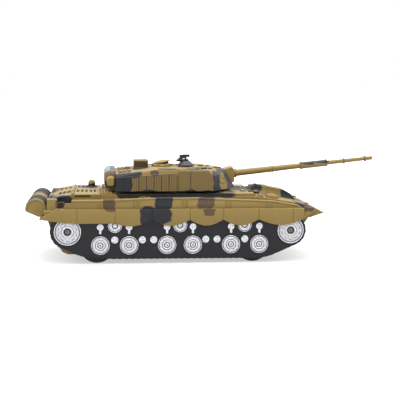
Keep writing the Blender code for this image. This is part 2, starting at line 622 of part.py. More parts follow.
# ---- electrics ----------------------------------------------------------------------------------
def electrics():
    half = BATTERY_WIDTH / 2
    pack = block(BATTERY_X, (-half, half), (BATTERY_Z, BATTERY_Z + BATTERY_HEIGHT))
    for i in range(2):
        y = half * (2 * i - 1) / 2
        unite(pack, rod(half / 2 - 0.4, BATTERY_X[0] + 1.0, BATTERY_X[1] - 1.0,
                        (y, BATTERY_Z + BATTERY_HEIGHT - 2.0), "X", 12))
    named(pack, "battery_pack", "cell")
    door_half = half + DOOR_MARGIN
    door = block((BATTERY_X[0] - DOOR_MARGIN, BATTERY_X[1] + DOOR_MARGIN + DOOR_TONGUE),
                 (-door_half, door_half), (BELLY_Z, BELLY_Z + DOOR_THICK))
    screw_at = (DOOR_SCREW_X, 0.0)
    unite(door, rod(DOOR_CUP_R, BELLY_Z, BELLY_Z + DOOR_CUP_HEIGHT, screw_at, "Z", 14))
    cut(door,
        rod(SCREW_HEAD_R + GAP, BELLY_Z - 2.0, BELLY_Z + SCREW_HEAD + 2 * GAP, screw_at, "Z", 12),
        rod(SCREW_SHANK_R + GAP, BELLY_Z, BELLY_Z + 5.0, screw_at, "Z", 8))
    named(door, "battery_door", "tan")
    board = block(BOARD_X, (-BOARD_WIDTH / 2, BOARD_WIDTH / 2), (BOARD_Z, BOARD_Z + 1.6))
    for x, w, h in ((-45.0, 12.0, 2.0), (-20.0, 8.0, 3.0), (5.0, 10.0, 5.0)):
        unite(board, block((x - w / 2, x + w / 2), (-w / 2, w / 2), (BOARD_Z + 1.0, BOARD_Z + 1.6 + h)))
    named(board, "circuit_board", "green")
    base = FLOOR_Z + GAP + 1.0
    body = block((SWITCH_X - 5.0, SWITCH_X + 5.0 + SWITCH_TRAVEL), (-4.0, 4.0), (base, base + 6.0))
    named(body, "switch_body", "black")
    knob = block((SWITCH_X - 3.0, SWITCH_X + 3.0), (-2.0, 2.0), (BELLY_Z + 0.5, base - GAP))
    return named(knob, "power_switch", "black")


# ---- drive --------------------------------------------------------------------------------------
def compound_centre():
    """Shaft of the middle gear, as (x, z)."""
    reach = FINAL_R + SMALL_R
    angle = math.radians(COMPOUND_ANGLE)
    return REAR_AXLE_X + reach * math.cos(angle), WHEEL_R + reach * math.sin(angle)


def motor_centre():
    """Motor shaft, as (x, z)."""
    x, z = compound_centre()
    reach = LARGE_R + SMALL_R
    angle = math.radians(MOTOR_ANGLE)
    return x + reach * math.cos(angle), z + reach * math.sin(angle)


def gear_outline(teeth, centre, tooth_at):
    """Straight-flanked teeth with backlash; one tooth points at the angle tooth_at (degrees)."""
    radius = teeth * MODULE / 2
    tip = radius + 0.85 * MODULE
    root = radius - 1.15 * MODULE
    pitch = 2 * math.pi / teeth
    points = []
    for k in range(teeth):
        middle = math.radians(tooth_at) + k * pitch
        for r, share in ((root, -0.29), (tip, -0.12), (tip, 0.12), (root, 0.29)):
            angle = middle + share * pitch
            points.append((centre[0] + r * math.cos(angle), centre[1] + r * math.sin(angle)))
    return points


def gap_towards(teeth, angle):
    """Tooth angle that puts the middle of a gap at the given angle."""
    return angle + 180.0 / teeth


def wheel(side, sign, end, x):
    """Rubber tyre on a dished plastic wheel."""
    centre = (x, WHEEL_R)
    inner = WHEEL_R - TYRE_DEPTH
    low, high = span(sign, TYRE_IN, TYRE_OUT)
    tyre = turned([(inner, low), (WHEEL_R - 1.2, low), (WHEEL_R, low + 1.2), (WHEEL_R, high - 1.2),
                   (WHEEL_R - 1.2, high), (inner, high)], 28, centre, "Y", ring=True)
    named(tyre, f"tyre_{end}_{side}", "rubber", smooth=True)
    bore = AXLE_R + GAP
    rim = inner - GAP
    face = sign * (TYRE_OUT - 0.6)
    dish = sign * (TYRE_OUT - 3.0)
    back = sign * (TYRE_IN + 0.6)
    hub = turned([(bore, back), (rim, back), (rim, face), (rim - 2.0, face), (rim - 3.2, dish),
                  (AXLE_R + 3.4, dish), (AXLE_R + 2.6, face), (bore, face)], 24, centre, "Y", ring=True)
    return tyre, named(hub, f"wheel_{end}_{side}", "black", smooth=True)


def drive(side, sign):
    rear = (REAR_AXLE_X, WHEEL_R)
    middle = compound_centre()
    motor_at = motor_centre()
    spin = pivot("rear_wheel_axis_" + side, (REAR_AXLE_X, sign * TYRE_OUT, WHEEL_R))
    tyre, hub = wheel(side, sign, "rear", REAR_AXLE_X)
    axle = rod(AXLE_R, *span(sign, FINAL_IN - 0.8, TYRE_OUT + 0.4), rear, "Y", 12)
    named(axle, "axle_rear_" + side, "steel", smooth=True)
    final = prism(gear_outline(FINAL_TEETH, rear, COMPOUND_ANGLE), *span(sign, FINAL_IN, FINAL_OUT))
    cut(final, rod(AXLE_R + GAP, *span(sign, FINAL_IN - 2, FINAL_OUT + 2), rear, "Y", 12))
    named(final, "final_gear_" + side, "white")
    carry(spin, tyre, hub, axle, final)
    # middle gear: its small wheel drives the final gear, its large one meets the motor pinion
    small_at = gap_towards(SMALL_TEETH, COMPOUND_ANGLE + 180.0)
    compound = prism(gear_outline(LARGE_TEETH, middle, MOTOR_ANGLE), *span(sign, LARGE_IN, LARGE_OUT))
    unite(compound, prism(gear_outline(SMALL_TEETH, middle, small_at),
                          *span(sign, LARGE_OUT - 0.5, FINAL_OUT)),
          rod(AXLE_R, *span(sign, FRAME_IN - 0.2, HALF_TUB - 0.4), middle, "Y", 12))
    named(compound, "compound_gear_" + side, "white")
    carry(pivot("compound_gear_axis_" + side, (middle[0], sign * LARGE_OUT, middle[1])), compound)
    pinion = prism(gear_outline(SMALL_TEETH, motor_at, gap_towards(SMALL_TEETH, MOTOR_ANGLE + 180.0)),
                   *span(sign, LARGE_IN, LARGE_OUT))
    unite(pinion, rod(1.0, *span(sign, MOTOR_OUT + GAP, LARGE_OUT), motor_at, "Y", 8))
    named(pinion, "motor_pinion_" + side, "white")
    carry(pivot("motor_axis_" + side, (motor_at[0], sign * LARGE_OUT, motor_at[1])), pinion)
    motor = rod(MOTOR_R, *span(sign, MOTOR_OUT - MOTOR_LENGTH, MOTOR_OUT), motor_at, "Y", 20)
    named(motor, "motor_" + side, "steel", smooth=True)
    frame = block((rear[0] - 6.0, motor_at[0] + MOTOR_R), span(sign, FRAME_IN, FRAME_OUT),
                  (FLOOR_Z + GAP, middle[1] + LARGE_R - 2.0))
    unite(frame, block((rear[0] - 6.0, motor_at[0] + MOTOR_R), span(sign, FRAME_IN - 8.0, FRAME_OUT),
                       (FLOOR_Z + GAP, FLOOR_Z + GAP + 1.6)))
    through = span(sign, FRAME_IN - 2.0, FRAME_OUT + 2.0)
    cut(frame,
        rod(AXLE_R + GAP, *through, middle, "Y", 12),
        rod(1.0 + 2 * GAP, *through, motor_at, "Y", 12))
    named(frame, "gearbox_frame_" + side, "white")
    front_spin = pivot("front_wheel_axis_" + side, (FRONT_AXLE_X, sign * TYRE_OUT, WHEEL_R))
    carry(front_spin, *wheel(side, sign, "front", FRONT_AXLE_X))


# ---- turret -------------------------------------------------------------------------------------
def roof_height(x):
    """Turret roof along its length: rising from the rear, then flat."""
    share = min(1.0, (x - TURRET_REAR) / (ROOF_BREAK_X - TURRET_REAR))
    return TURRET_REAR_ROOF + (TURRET_ROOF - TURRET_REAR_ROOF) * share


def turret_rings(wall, drop=0.0):
    """Bottom, shoulder and roof rings of the turret, moved inwards by a wall thickness.

    A drop carries the sloping cheeks on below the turret's foot.
    """
    half = HALF_TURRET - wall
    cheek = CHEEK_WIDTH / 2 - wall / 2
    slope = wall * 1.3
    rear = TURRET_REAR + wall
    shoulder = TURRET_Z + SHOULDER_HEIGHT
    corner = (TURRET_SHOULDER - slope / 2, half)
    lean = cheek_lean()
    bottom = [(rear, half), (ROOF_BREAK_X, half), corner, (CHEEK_FRONT - slope + lean * drop, cheek)]
    middle = [(rear, half), (ROOF_BREAK_X, half), corner,
              (CHEEK_FRONT - slope - lean * SHOULDER_HEIGHT, cheek)]
    top = [(rear, half - 2.0), (ROOF_BREAK_X, half - 2.0), (TURRET_SHOULDER - 6.2 - slope / 2, half - 2.0),
           (CHEEK_TOP - slope, cheek)]
    rows = ((bottom, [TURRET_Z - drop] * 4), (middle, [shoulder - 1.0, shoulder, shoulder, shoulder]),
            (top, [TURRET_REAR_ROOF - wall, TURRET_ROOF - wall, TURRET_ROOF - wall,
                   TURRET_ROOF - 1.2 - wall]))
    rings = []
    for row, heights in rows:
        right = [(x, -y, z) for (x, y), z in zip(row, heights)]
        left = [(x, y, z) for (x, y), z in zip(row, heights)]
        rings.append(right + left[::-1])
    return rings


def cheek_lean():
    """How far the cheek's front edge leans back for each millimetre of height."""
    return (CHEEK_FRONT - CHEEK_TOP) / TURRET_HEIGHT


def turret_shell():
    shell = stacked(turret_rings(0.0))
    cut(shell, stacked(turret_rings(WALL, 5.0)))
    slot = [(TRUNNION_X + 6.0, TURRET_Z - 5.0), (CHEEK_FRONT + 5.0, TURRET_Z - 5.0),
            (CHEEK_FRONT + 5.0, TURRET_ROOF + 5.0), (TRUNNION_X + 6.0, TURRET_ROOF + 5.0)]
    cut(shell, prism(slot, -SLOT_WIDTH / 2, SLOT_WIDTH / 2))
    return named(shell, "turret_shell", "tan")


def turret_base():
    foot = turret_rings(WALL + 5 * GAP)[0]
    lean = cheek_lean() * WALL
    head = [(x - (lean if x > TURRET_SHOULDER else 0.0), y, z + WALL) for x, y, z in foot]
    base = stacked((foot, head))
    unite(base, rod(TURRET_RING_R - GAP, ROOF_Z - WALL - 0.7, TURRET_Z + 0.5, (TURRET_X, 0.0), "Z", 40))
    cut(base, rod(TURRET_RING_R - 3.0, ROOF_Z - 10.0, TURRET_Z + 10.0, (TURRET_X, 0.0), "Z", 40))
    for sign in (-1, 1):
        lug = span(sign, SLOT_WIDTH / 2 + 1.0, SLOT_WIDTH / 2 + 3.5)
        unite(base, block((TRUNNION_X - 4.0, TRUNNION_X + 4.0), lug, (TURRET_Z + 1.0, TRUNNION_Z + 4.0)))
        cut(base, rod(AXLE_R + GAP, lug[0] - 1.0, lug[1] + 1.0, (TRUNNION_X, TRUNNION_Z), "Y", 12))
    return named(base, "turret_base", "tan")


def turret_retainer():
    top = ROOF_Z - WALL - 1.0
    inner, outer = TURRET_RING_R - 3.0, TURRET_RING_R + 3.5
    profile = [(inner, top - 1.8), (outer, top - 1.8), (outer, top), (inner, top)]
    ring = turned(profile, 32, (TURRET_X, 0.0), "Z", ring=True)
    return named(ring, "turret_retainer", "black", smooth=True)


def side_panel(side, sign):
    """Ribbed bustle panel with a rising top edge."""
    rear = TURRET_REAR + 0.5
    outline = [(rear, TURRET_Z), (PANEL_END, TURRET_Z), (PANEL_END, TURRET_Z + PANEL_FRONT_HEIGHT),
               (rear, TURRET_Z + PANEL_REAR_HEIGHT)]
    face = HALF_TURRET + GAP
    return named(prism(outline, *span(sign, face, face + PANEL_THICK)), "turret_panel_" + side, "tan")


def front_panel(side, sign):
    """Plain armour panel ahead of the ribbed one."""
    rear = PANEL_END + 2.2
    front = TURRET_SHOULDER - 0.6
    outline = [(rear, TURRET_Z), (front, TURRET_Z), (front, TURRET_Z + SHOULDER_HEIGHT - 0.6),
               (front - 5.6, TURRET_ROOF - 0.6),
               (rear, TURRET_ROOF - 0.6)]
    face = HALF_TURRET + GAP
    return named(prism(outline, *span(sign, face, face + PANEL_THICK)), "turret_side_" + side, "tan")


def rear_bin():
    """Round-backed stowage bin behind the turret."""
    front = TURRET_REAR - GAP
    top = TURRET_REAR_ROOF + 1.2
    low = TURRET_Z + 3.0
    depth = 11.5
    radius = (top - low) / 2
    curve = [(front - depth + (radius - radius * math.cos(a)) * 0.45,
              (top + low) / 2 + radius * math.sin(a))
             for a in (math.radians(-90 + 180 * k / 8) for k in range(9))]
    outline = [(front, low)] + [(front, top)] + curve[::-1]
    return named(prism(outline, -30.0, 30.0), "turret_rear_bin", "black")


def gunner_sight():
    low, high = SIGHT_X
    outline = [(low, roof_height(low) + GAP), (high, roof_height(high) + GAP),
               (high, roof_height(low) + SIGHT_HEIGHT - 1.6), (high - 1.6, roof_height(low) + SIGHT_HEIGHT),
               (low + 1.6, roof_height(low) + SIGHT_HEIGHT), (low, roof_height(low) + SIGHT_HEIGHT - 1.6)]
    return named(prism(outline, *SIGHT_Y), "gunner_sight", "tan")


def cupola():
    base = TURRET_ROOF + GAP
    piece = turned([(0.0, base), (CUPOLA_R + 0.6, base), (CUPOLA_R, base + CUPOLA_HEIGHT * 0.6),
                    (CUPOLA_R - 1.4, base + CUPOLA_HEIGHT * 0.75), (CUPOLA_R - 1.0, base + CUPOLA_HEIGHT),
                    (0.0, base + CUPOLA_HEIGHT)], 20, (CUPOLA_X, CUPOLA_Y), "Z")
    return named(piece, "commander_cupola", "tan", smooth=True)


def mg_base():
    base = TURRET_ROOF + GAP
    profile = [(0.0, base), (MG_BASE_R, base), (MG_BASE_R - 0.5, base + 1.4), (4.4, MG_TOP), (0.0, MG_TOP)]
    piece = turned(profile, 20, (MG_X, MG_Y), "Z")
    cut(piece, rod(1.0 + GAP, MG_TOP - 3.0, MG_TOP + 2.0, (MG_X, MG_Y), "Z", 10))
    return named(piece, "loader_cupola", "grey", smooth=True)


def machine_gun():
    """Cradle on a pin in the loader's cupola, and the gun it carries."""
    floor = MG_TOP + GAP
    cradle = rod(1.0, MG_TOP - 2.6, floor + 3.6, (MG_X, MG_Y), "Z", 10)
    unite(cradle, block((MG_X - 3.4, MG_X + 3.0), (MG_Y - 2.0, MG_Y + 2.0), (floor, floor + 1.6)),
          block((MG_X - 7.6, MG_X - 3.2), (MG_Y - 2.6, MG_Y + 1.0), (floor, floor + 3.0)))
    named(cradle, "mg_cradle", "black")
    low = floor + 3.6 + GAP
    gun = block((MG_X - 2.6, MG_X + 4.2), (MG_Y - 1.6, MG_Y + 1.6), (low, low + 2.6))
    unite(gun, rod(0.8, MG_Y + 1.0, MG_Y + 12.0, (MG_X + 1.0, low + 1.2), "Y", 8))
    named(gun, "machine_gun", "black")
    carry(pivot("mg_axis", (MG_X, MG_Y, MG_TOP)), cradle, gun)


# ---- gun ----------------------------------------------------------------------------------------
def barrel_profile(root):
    """Radius along the barrel from the mantlet to the muzzle, with its bands and the fume extractor."""
    def band(at, base, height, width):
        rear, front = at - width / 2, at + width / 2
        return [(base, rear), (height, rear), (height, front), (base, front)]

    length = GUN_LENGTH
    profile = [(0.0, root), (4.6, root), (4.6, root + 3.0), (3.6, root + 4.0)]
    profile += band(length - 109.6, 3.0, 3.5, 1.4)
    profile += [(2.7, length - 79.0), (3.9, length - 79.0), (3.9, length - 77.6), (3.5, length - 77.6),
                (3.5, length - 51.4), (3.9, length - 51.4), (3.9, length - 50.0), (2.2, length - 50.0)]
    profile += band(length - 31.2, 2.1, 3.1, 1.4)
    profile += band(length - 7.8, 1.9, 3.2, 1.6)
    profile += [(2.0, length), (BORE_R, length), (BORE_R, length - BORE_DEPTH), (0.0, length - BORE_DEPTH)]
    return profile


def gun():
    axis = pivot("gun_axis", (TRUNNION_X, 0.0, TRUNNION_Z), -GUN_ELEVATION)
    half = (SLOT_WIDTH - 1.0) / 2
    outline = [(-5.0, -4.0), (5.0, -7.6)] + arc((0.0, 0.0), MANTLET_R, -19.0, 16.0, 9)
    outline += [(9.0, 4.4), (-5.0, 3.6)]
    mantlet = prism(outline, -half, half)
    cut(mantlet, rod(AXLE_R + GAP, -half - 2.0, half + 2.0, (0.0, 0.0), "Y", 12))
    named(mantlet, "gun_mantlet", "tan")
    barrel = turned(barrel_profile(MANTLET_R + GAP), 14, (0.0, 0.0), "X")
    named(barrel, "gun_barrel", "tan", smooth=True)
    carry(axis, mantlet, barrel, local=True)
    reach = SLOT_WIDTH / 2 + 4.5
    pin = rod(AXLE_R, -reach, reach, (TRUNNION_X, TRUNNION_Z), "Y", 12)
    named(pin, "trunnion_pin", "steel", smooth=True)
    return pin


def fuel_drum(side, sign):
    """Drum across the rear with raised hoops, cut flat where it rests on the mudguards."""
    low = DRUM_SPACE / 2
    high = low + DRUM_LENGTH
    hoop = DRUM_R - 0.6
    profile = [(0.0, sign * low), (hoop, sign * low)]
    for at in (0.18, 0.5, 0.82):
        y = low + DRUM_LENGTH * at
        profile += [(hoop, sign * (y - 2.4)), (DRUM_R, sign * (y - 1.6)),
                    (DRUM_R, sign * (y + 1.6)), (hoop, sign * (y + 2.4))]
    profile += [(hoop, sign * high), (0.0, sign * high)]
    drum = turned(profile, 24, (DRUM_X, DRUM_Z), "Y")
    slope = (FENDER_TOP + 1.6 - FLAP_TIP_Z) / (FLAP_BEND_X - FLAP_TIP_X)
    flap_at_hull = FLAP_TIP_Z + slope * (HULL_REAR - FLAP_TIP_X) + 2 * GAP
    under = [(DRUM_X - DRUM_R - 8.0, DRUM_Z + 1.8), (FLAP_TIP_X - 0.6, FLAP_TIP_Z + 0.8),
             (HULL_REAR, flap_at_hull),
             (HULL_REAR, DRUM_Z - 25.0), (DRUM_X - DRUM_R - 8.0, DRUM_Z - 25.0)]
    cut(drum, prism(under, *span(sign, low - 5.0, high + 5.0)))
    return named(drum, "fuel_drum_" + side, "tan", smooth=True)


def ventilator_cap():
    base = DECK_TOP + GAP
    cap = turned([(0.0, base), (3.9, base), (3.9, base + 3.0), (3.2, base + 5.2), (1.8, base + 6.6),
                  (0.0, base + 7.0)], 14, (CAP_X, CAP_Y), "Z")
    return named(cap, "ventilator_cap", "tan", smooth=True)


def build():
    for obj in list(bpy.data.objects):
        bpy.data.objects.remove(obj)
    upper_hull()
    lower_hull()
    engine_deck()
    ventilator_cap()
    fasteners()
    knob = electrics()
    carry(pivot("switch_axis", (SWITCH_X, 0.0, BELLY_Z)), knob)
    front_axle = rod(AXLE_R, -TYRE_OUT - 0.4, TYRE_OUT + 0.4, (FRONT_AXLE_X, WHEEL_R), "Y", 12)
    named(front_axle, "front_axle", "steel", smooth=True)
    turret_pieces = [turret_shell(), turret_base(), turret_retainer(), rear_bin(), gunner_sight(),
                     cupola(), mg_base()]
    for side, sign in sides():
        skirt(side, sign)
        track_fairing(side, sign)
        fuel_drum(side, sign)
        drive(side, sign)
        turret_pieces += [side_panel(side, sign), front_panel(side, sign)]
    machine_gun()
    carry(pivot("turret_axis", (TURRET_X, 0.0, RACE_TOP)), gun(), *turret_pieces)


build()
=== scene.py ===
import itertools
import math

import bmesh
import bpy
import numpy as np
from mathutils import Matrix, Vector


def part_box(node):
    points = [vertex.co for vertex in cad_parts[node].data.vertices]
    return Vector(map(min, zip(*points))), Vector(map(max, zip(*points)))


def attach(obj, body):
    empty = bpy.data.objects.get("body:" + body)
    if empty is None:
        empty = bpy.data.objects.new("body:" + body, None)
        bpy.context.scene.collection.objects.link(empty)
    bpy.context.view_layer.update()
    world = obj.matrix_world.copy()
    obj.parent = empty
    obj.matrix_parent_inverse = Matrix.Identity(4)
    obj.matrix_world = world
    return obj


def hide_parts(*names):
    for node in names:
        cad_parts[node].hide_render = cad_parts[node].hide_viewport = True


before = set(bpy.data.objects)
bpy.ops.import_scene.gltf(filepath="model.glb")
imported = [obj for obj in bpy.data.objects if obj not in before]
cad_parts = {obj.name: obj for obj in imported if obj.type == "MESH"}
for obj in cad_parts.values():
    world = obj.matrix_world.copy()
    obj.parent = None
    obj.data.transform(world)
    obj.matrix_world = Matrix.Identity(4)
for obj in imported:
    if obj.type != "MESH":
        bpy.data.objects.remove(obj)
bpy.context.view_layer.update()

bl_info = {
    "name": "Toy Tank Finish",
    "version": (1, 0, 0),
    "blender": (4, 5, 0),
    "location": "View3D > Sidebar > Toy Tank",
    "description": "Shapes and finishes of a moulded radio-controlled tank, on its packed CAD model",
    "category": "Object",
}

MM = 0.001
SIDES = (("right", -1), ("left", 1))
BLOCK_POINTS = 24        # corner points of one chamfered block
FINISH = {}              # materials by their short names, filled by make_finishes

# ---- places on the moulding, in millimetres ----------------------------------------------------
SKIRT_SEAMS = (-131.4, -93.8, -57.2, -19.2, 14.5, 50.5)
SKIRT_LAST_SEAM = 85.6
SKIRT_FRONT = 97.0
SKIRT_CUSP = 44.5
SKIRT_FLAT = 41.3
SKIRT_SCALLOP = 6.0      # how far a panel's lower edge hangs under its ends
SKIRT_INNER = 58.3
SKIRT_OUTER = 60.3
SKIRT_ROUND = 0.45
FENDER_TOP = 55.5
FLAP_TIP = (-168.5, 46.4)
FLAP_BEND = (-151.0, 57.1)
IDLERS = ((-141.0, 32.8), (83.7, 32.8))
IDLER_WELL = 3.9         # radius of the screw well in an idler's hub
ROAD_WHEELS = (-108.6, -80.0, -42.0, -16.0, 22.7, 51.5)
ROAD_Z = 19.0
ROLLERS = (-94.0, -28.9, 36.5)
ROLLER_Z = 38.8
ARM_Z = 37.3
ARM_FOOT = 30.6
BOLTS = (-94.3, -66.8, -55.4, -3.0, 8.5, 36.7)
BOLT_Z = 24.4
FACE_PLANE = 57.8        # where the stamped faces stand on the track moulding
FACE_SET_IN = 0.3
AXLES = (("rear", -112.0), ("front", 46.0))
AXLE_Z = 18.0
TREAD_FOOT = 17.75       # radius that the tyres' tread bars stand on
TRACK_INNER = 36.6
TRACK_OUTER = 56.4
SLOT_REACH = 23.0        # half the length of the slot over a running wheel
TRUNNION = (5.0, 83.0)
GUN_ELEVATION = 6.16
BARREL_ROOT = 27.5       # trunnion to the barrel's collar
BARREL_TIP = 179.6
MANTLET_R = 27.2
ROOF = 93.0              # turret roof ahead of its falling rear part
DRUM_R = 10.2
DRUM_HOOP = 0.6
HULL_STRIPS = (-108.0, -73.0, -24.0, 20.0, 62.0)
# top edge of the hull side, as (x, z)
SIDE_EDGE = ((-136.6, 64.1), (-110.0, 64.1), (-54.0, 66.2), (-10.0, 66.2), (23.0, 64.6), (64.0, 63.0),
             (92.0, 58.3))
# sloping front plate, as (x, z)
GLACIS = ((50.0, 66.6), (92.0, 59.8), (109.0, 55.2), (120.0, 49.6))
# engine deck, as (x, z)
DECK_SLOPE = ((-161.0, 65.2), (-137.0, 69.7), (-108.3, 69.7))


# ---- stamped relief of the wheel faces ---------------------------------------------------------
# each ring is (height in mm, or share of full darkness, then middle and half width as shares of the radius)
RAISED = {
    "idler": ((0.40, 0.965, 0.035), (0.28, 0.66, 0.20), (0.34, 0.36, 0.065)),
    "road": ((0.25, 0.965, 0.035), (0.38, 0.70, 0.155), (0.26, 0.42, 0.07)),
    "roller": ((0.20, 0.96, 0.04), (0.35, 0.65, 0.18), (0.34, 0.0, 0.26)),
}
# darkness in the stamped hollows: bare black plastic with painted shade; the dark outer grooves stand for
# shadow crescents, the idler's faint broad band for shade over its face
SUNK_AND_SHADED = {
    "idler": ((0.95, 0.895, 0.032), (0.6, 0.455, 0.024), (0.35, 0.82, 0.016), (0.16, 0.65, 0.17),
              (0.55, 0.285, 0.02)),
    "road": ((0.95, 0.885, 0.042), (0.35, 0.74, 0.020), (0.6, 0.05, 0.07)),
    "roller": ((0.95, 0.865, 0.050), (0.95, 0.38, 0.075), (0.3, 0.62, 0.025), (0.5, 0.0, 0.08)),
}


def linear(code):
    """An sRGB hex colour as linear RGBA."""
    parts = [int(code[i:i + 2], 16) / 255 for i in (1, 3, 5)]
    return tuple(c / 12.92 if c <= 0.04045 else ((c + 0.055) / 1.055) ** 2.4 for c in parts) + (1.0,)


# ---- sizes and colours -------------------------------------------------------------------------
def length(name, description, millimetres):
    """A size property in metres, shown in the scene's units."""
    return bpy.props.FloatProperty(name=name, description=description, default=millimetres * MM,
                                   min=0.0, unit="LENGTH", subtype="DISTANCE", precision=5)


def colour(name, description, code):
    """A paint or plastic colour property."""
    return bpy.props.FloatVectorProperty(name=name, description=description, default=linear(code),
                                         size=4, min=0.0, max=1.0, subtype="COLOR")


class ToyTankSizes(bpy.types.PropertyGroup):
    idler_radius: length("Idler radius", "Radius of the two large wheel faces of a side", 13.4)
    road_radius: length("Road wheel radius", "Radius of the six road wheel faces of a side", 9.2)
    roller_radius: length("Roller radius", "Radius of the three return roller faces of a side", 7.0)
    arm_radius: length("Arm boss radius", "Round end of a suspension arm", 3.4)
    bolt_radius: length("Bolt radius", "Radius of the domed bolt faces", 3.6)
    seam_depth: length("Seam depth", "Depth of the grooves between skirt panels", 0.45)
    seam_width: length("Seam width", "Width of the grooves between skirt panels", 0.9)
    rib_pitch: length("Rib pitch", "Spacing of the ribs on the turret's rear side panels", 2.53)
    rib_depth: length("Rib depth", "Depth between those ribs", 0.35)
    slot_half: length("Grille slot half width", "Half the width of the slots in the deck grilles", 1.0)
    pad_pitch: length("Track pad pitch", "Spacing of the pads moulded round the track", 6.2)
    edge_round: length("Edge rounding", "Radius that moulded edges catch the light with", 0.35)


class ToyTankColours(bpy.types.PropertyGroup):
    sand: colour("Sand", "Body plastic", "#735F2D")
    # the dark paint also makes the painted shadows among the camouflage fields
    dark: colour("Dark grey", "Darkest camouflage paint", "#0C1015")
    brown: colour("Brown", "Brown camouflage paint", "#43331F")
    lilac: colour("Grey-lilac", "Light grey camouflage paint", "#302E34")
    track: colour("Track plastic", "Black moulded track", "#0E0F11")
    silver: colour("Silver", "Hot-stamped foil", "#D2D2D6")
    hub: colour("Hub grey", "Recess in the middle of an idler", "#4E5149")
    rubber: colour("Rubber", "Tyres", "#0E0E0F")
    floor: colour("Floor", "Studio floor", "#9E9EA2")


def sizes():
    return bpy.context.scene.toy_tank_sizes


def colours():
    return bpy.context.scene.toy_tank_colours


def mm(value):
    """A size property in millimetres."""
    return value / MM


def cad(node):
    """Lowest and highest corner of a CAD node, in millimetres."""
    low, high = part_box(node)
    return np.array(low) / MM, np.array(high) / MM


# ---- mesh makers -------------------------------------------------------------------------------
def mesh_object(name, points, faces, material, body, slot, dark_faces=None, angle=32.0, hollow=None):
    """Points in millimetres and their faces as an object in place, welded, with its faces outward.

    Faces whose middle dark_faces(middles) picks take the second material.  hollow(points) gives each
    point's depth in a moulded line, from 0 to 1, kept for the material as the attribute "hollow", which
    the materials darken there with dirt and painted shade.
    """
    mesh = bpy.data.meshes.new(name)
    mesh.from_pydata(np.asarray(points, float).reshape(-1, 3) * MM, [], [list(f) for f in faces])
    bm = bmesh.new()
    bm.from_mesh(mesh)
    bmesh.ops.remove_doubles(bm, verts=bm.verts, dist=1e-6)
    bmesh.ops.dissolve_degenerate(bm, edges=bm.edges, dist=1e-7)
    bmesh.ops.recalc_face_normals(bm, faces=bm.faces)
    bm.to_mesh(mesh)
    bm.free()
    materials = material if isinstance(material, (list, tuple)) else [material]
    for entry in materials:
        mesh.materials.append(entry)
    if dark_faces is not None:
        middles = np.zeros(len(mesh.polygons) * 3)
        mesh.polygons.foreach_get("center", middles)
        picked = dark_faces(middles.reshape(-1, 3) / MM)
        mesh.polygons.foreach_set("material_index", picked.astype(np.int32))
    if hollow is not None:
        places = np.zeros(len(mesh.vertices) * 3)
        mesh.vertices.foreach_get("co", places)
        depth = mesh.attributes.new("hollow", "FLOAT", "POINT")
        depth.data.foreach_set("value", hollow(places.reshape(-1, 3) / MM).astype(np.float32))
    mesh.shade_smooth()
    mesh.set_sharp_from_angle(angle=math.radians(angle))
    obj = bpy.data.objects.new(name, mesh)
    bpy.context.scene.collection.objects.link(obj)
    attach(obj, body)
    return obj


def ring_faces(rings, count, caps=True):
    """Quads between neighbouring rings of count points, and a face over each end."""
    row, column = np.meshgrid(np.arange(rings - 1), np.arange(count), indexing="ij")
    after = (column + 1) % count
    quads = np.stack([row * count + column, row * count + after,
                      (row + 1) * count + after, (row + 1) * count + column], -1).reshape(-1, 4)
    faces = quads.tolist()
    if caps:
        faces.append(list(range(count)))
        faces.append(list(range((rings - 1) * count, rings * count)))
    return faces


def carried(name, rings, material, body, slot, caps=True, **more):
    """A closed profile carried along a path: rings is an array of rings, points and coordinates."""
    faces = ring_faces(rings.shape[0], rings.shape[1], caps)
    return mesh_object(name, rings, faces, material, body, slot, **more)


def joined(ring_sets, caps=True):
    """Points and faces of several sets of rings, for one mesh."""
    points, faces, count = [], [], 0
    for rings in ring_sets:
        points.append(rings.reshape(-1, 3))
        faces += [[v + count for v in face] for face in ring_faces(rings.shape[0], rings.shape[1], caps)]
        count += rings.shape[0] * rings.shape[1]
    return np.concatenate(points), faces


def grid(x, y, z):
    """Points from three arrays of coordinates that spread over one another."""
    return np.stack(np.broadcast_arrays(x, y, z), -1)


def lifted(points, height):
    """Points raised by height(x)."""
    return points + grid(0.0, 0.0, height(points[:, 0]))


def turned(profile, segments, centre, axis):
    """A profile of (radius, height) turned about an axis: radius x (cos, sin) in the plane across it."""
    profile = np.asarray(profile, float)
    angle = np.linspace(0.0, 2 * math.pi, segments, endpoint=False)
    across = profile[:, :1] * np.cos(angle) + centre[0]
    up = profile[:, :1] * np.sin(angle) + centre[1]
    along = np.repeat(profile[:, 1:2], segments, 1)
    order = {"X": (along, across, up), "Y": (across, along, up), "Z": (across, up, along)}[axis]
    return np.stack(order, -1)


def chamfered_unit():
    """Corner signs of a block's 24 points, three to a corner, and its 26 faces."""
    corners = list(itertools.product((-1, 1), repeat=3))
    signs = np.array([c for c in corners for _ in range(3)], float)
    kept = np.array([k for _ in corners for k in range(3)])

    def at(corner, k):
        return corners.index(corner) * 3 + k

    faces = [[at(c, k) for k in range(3)] for c in corners]
    for k in range(3):
        i, j = [n for n in range(3) if n != k]
        for side in (-1, 1):
            loop = []
            for a, b in ((-1, -1), (1, -1), (1, 1), (-1, 1)):
                c = [0, 0, 0]
                c[k], c[i], c[j] = side, a, b
                loop.append(at(tuple(c), k))
            faces.append(loop)
        for a, b in itertools.product((-1, 1), repeat=2):
            ends = []
            for side in (-1, 1):
                c = [0, 0, 0]
                c[k], c[i], c[j] = side, a, b
                ends.append(tuple(c))
            faces.append([at(ends[0], i), at(ends[1], i), at(ends[1], j), at(ends[0], j)])
    return signs, kept, faces


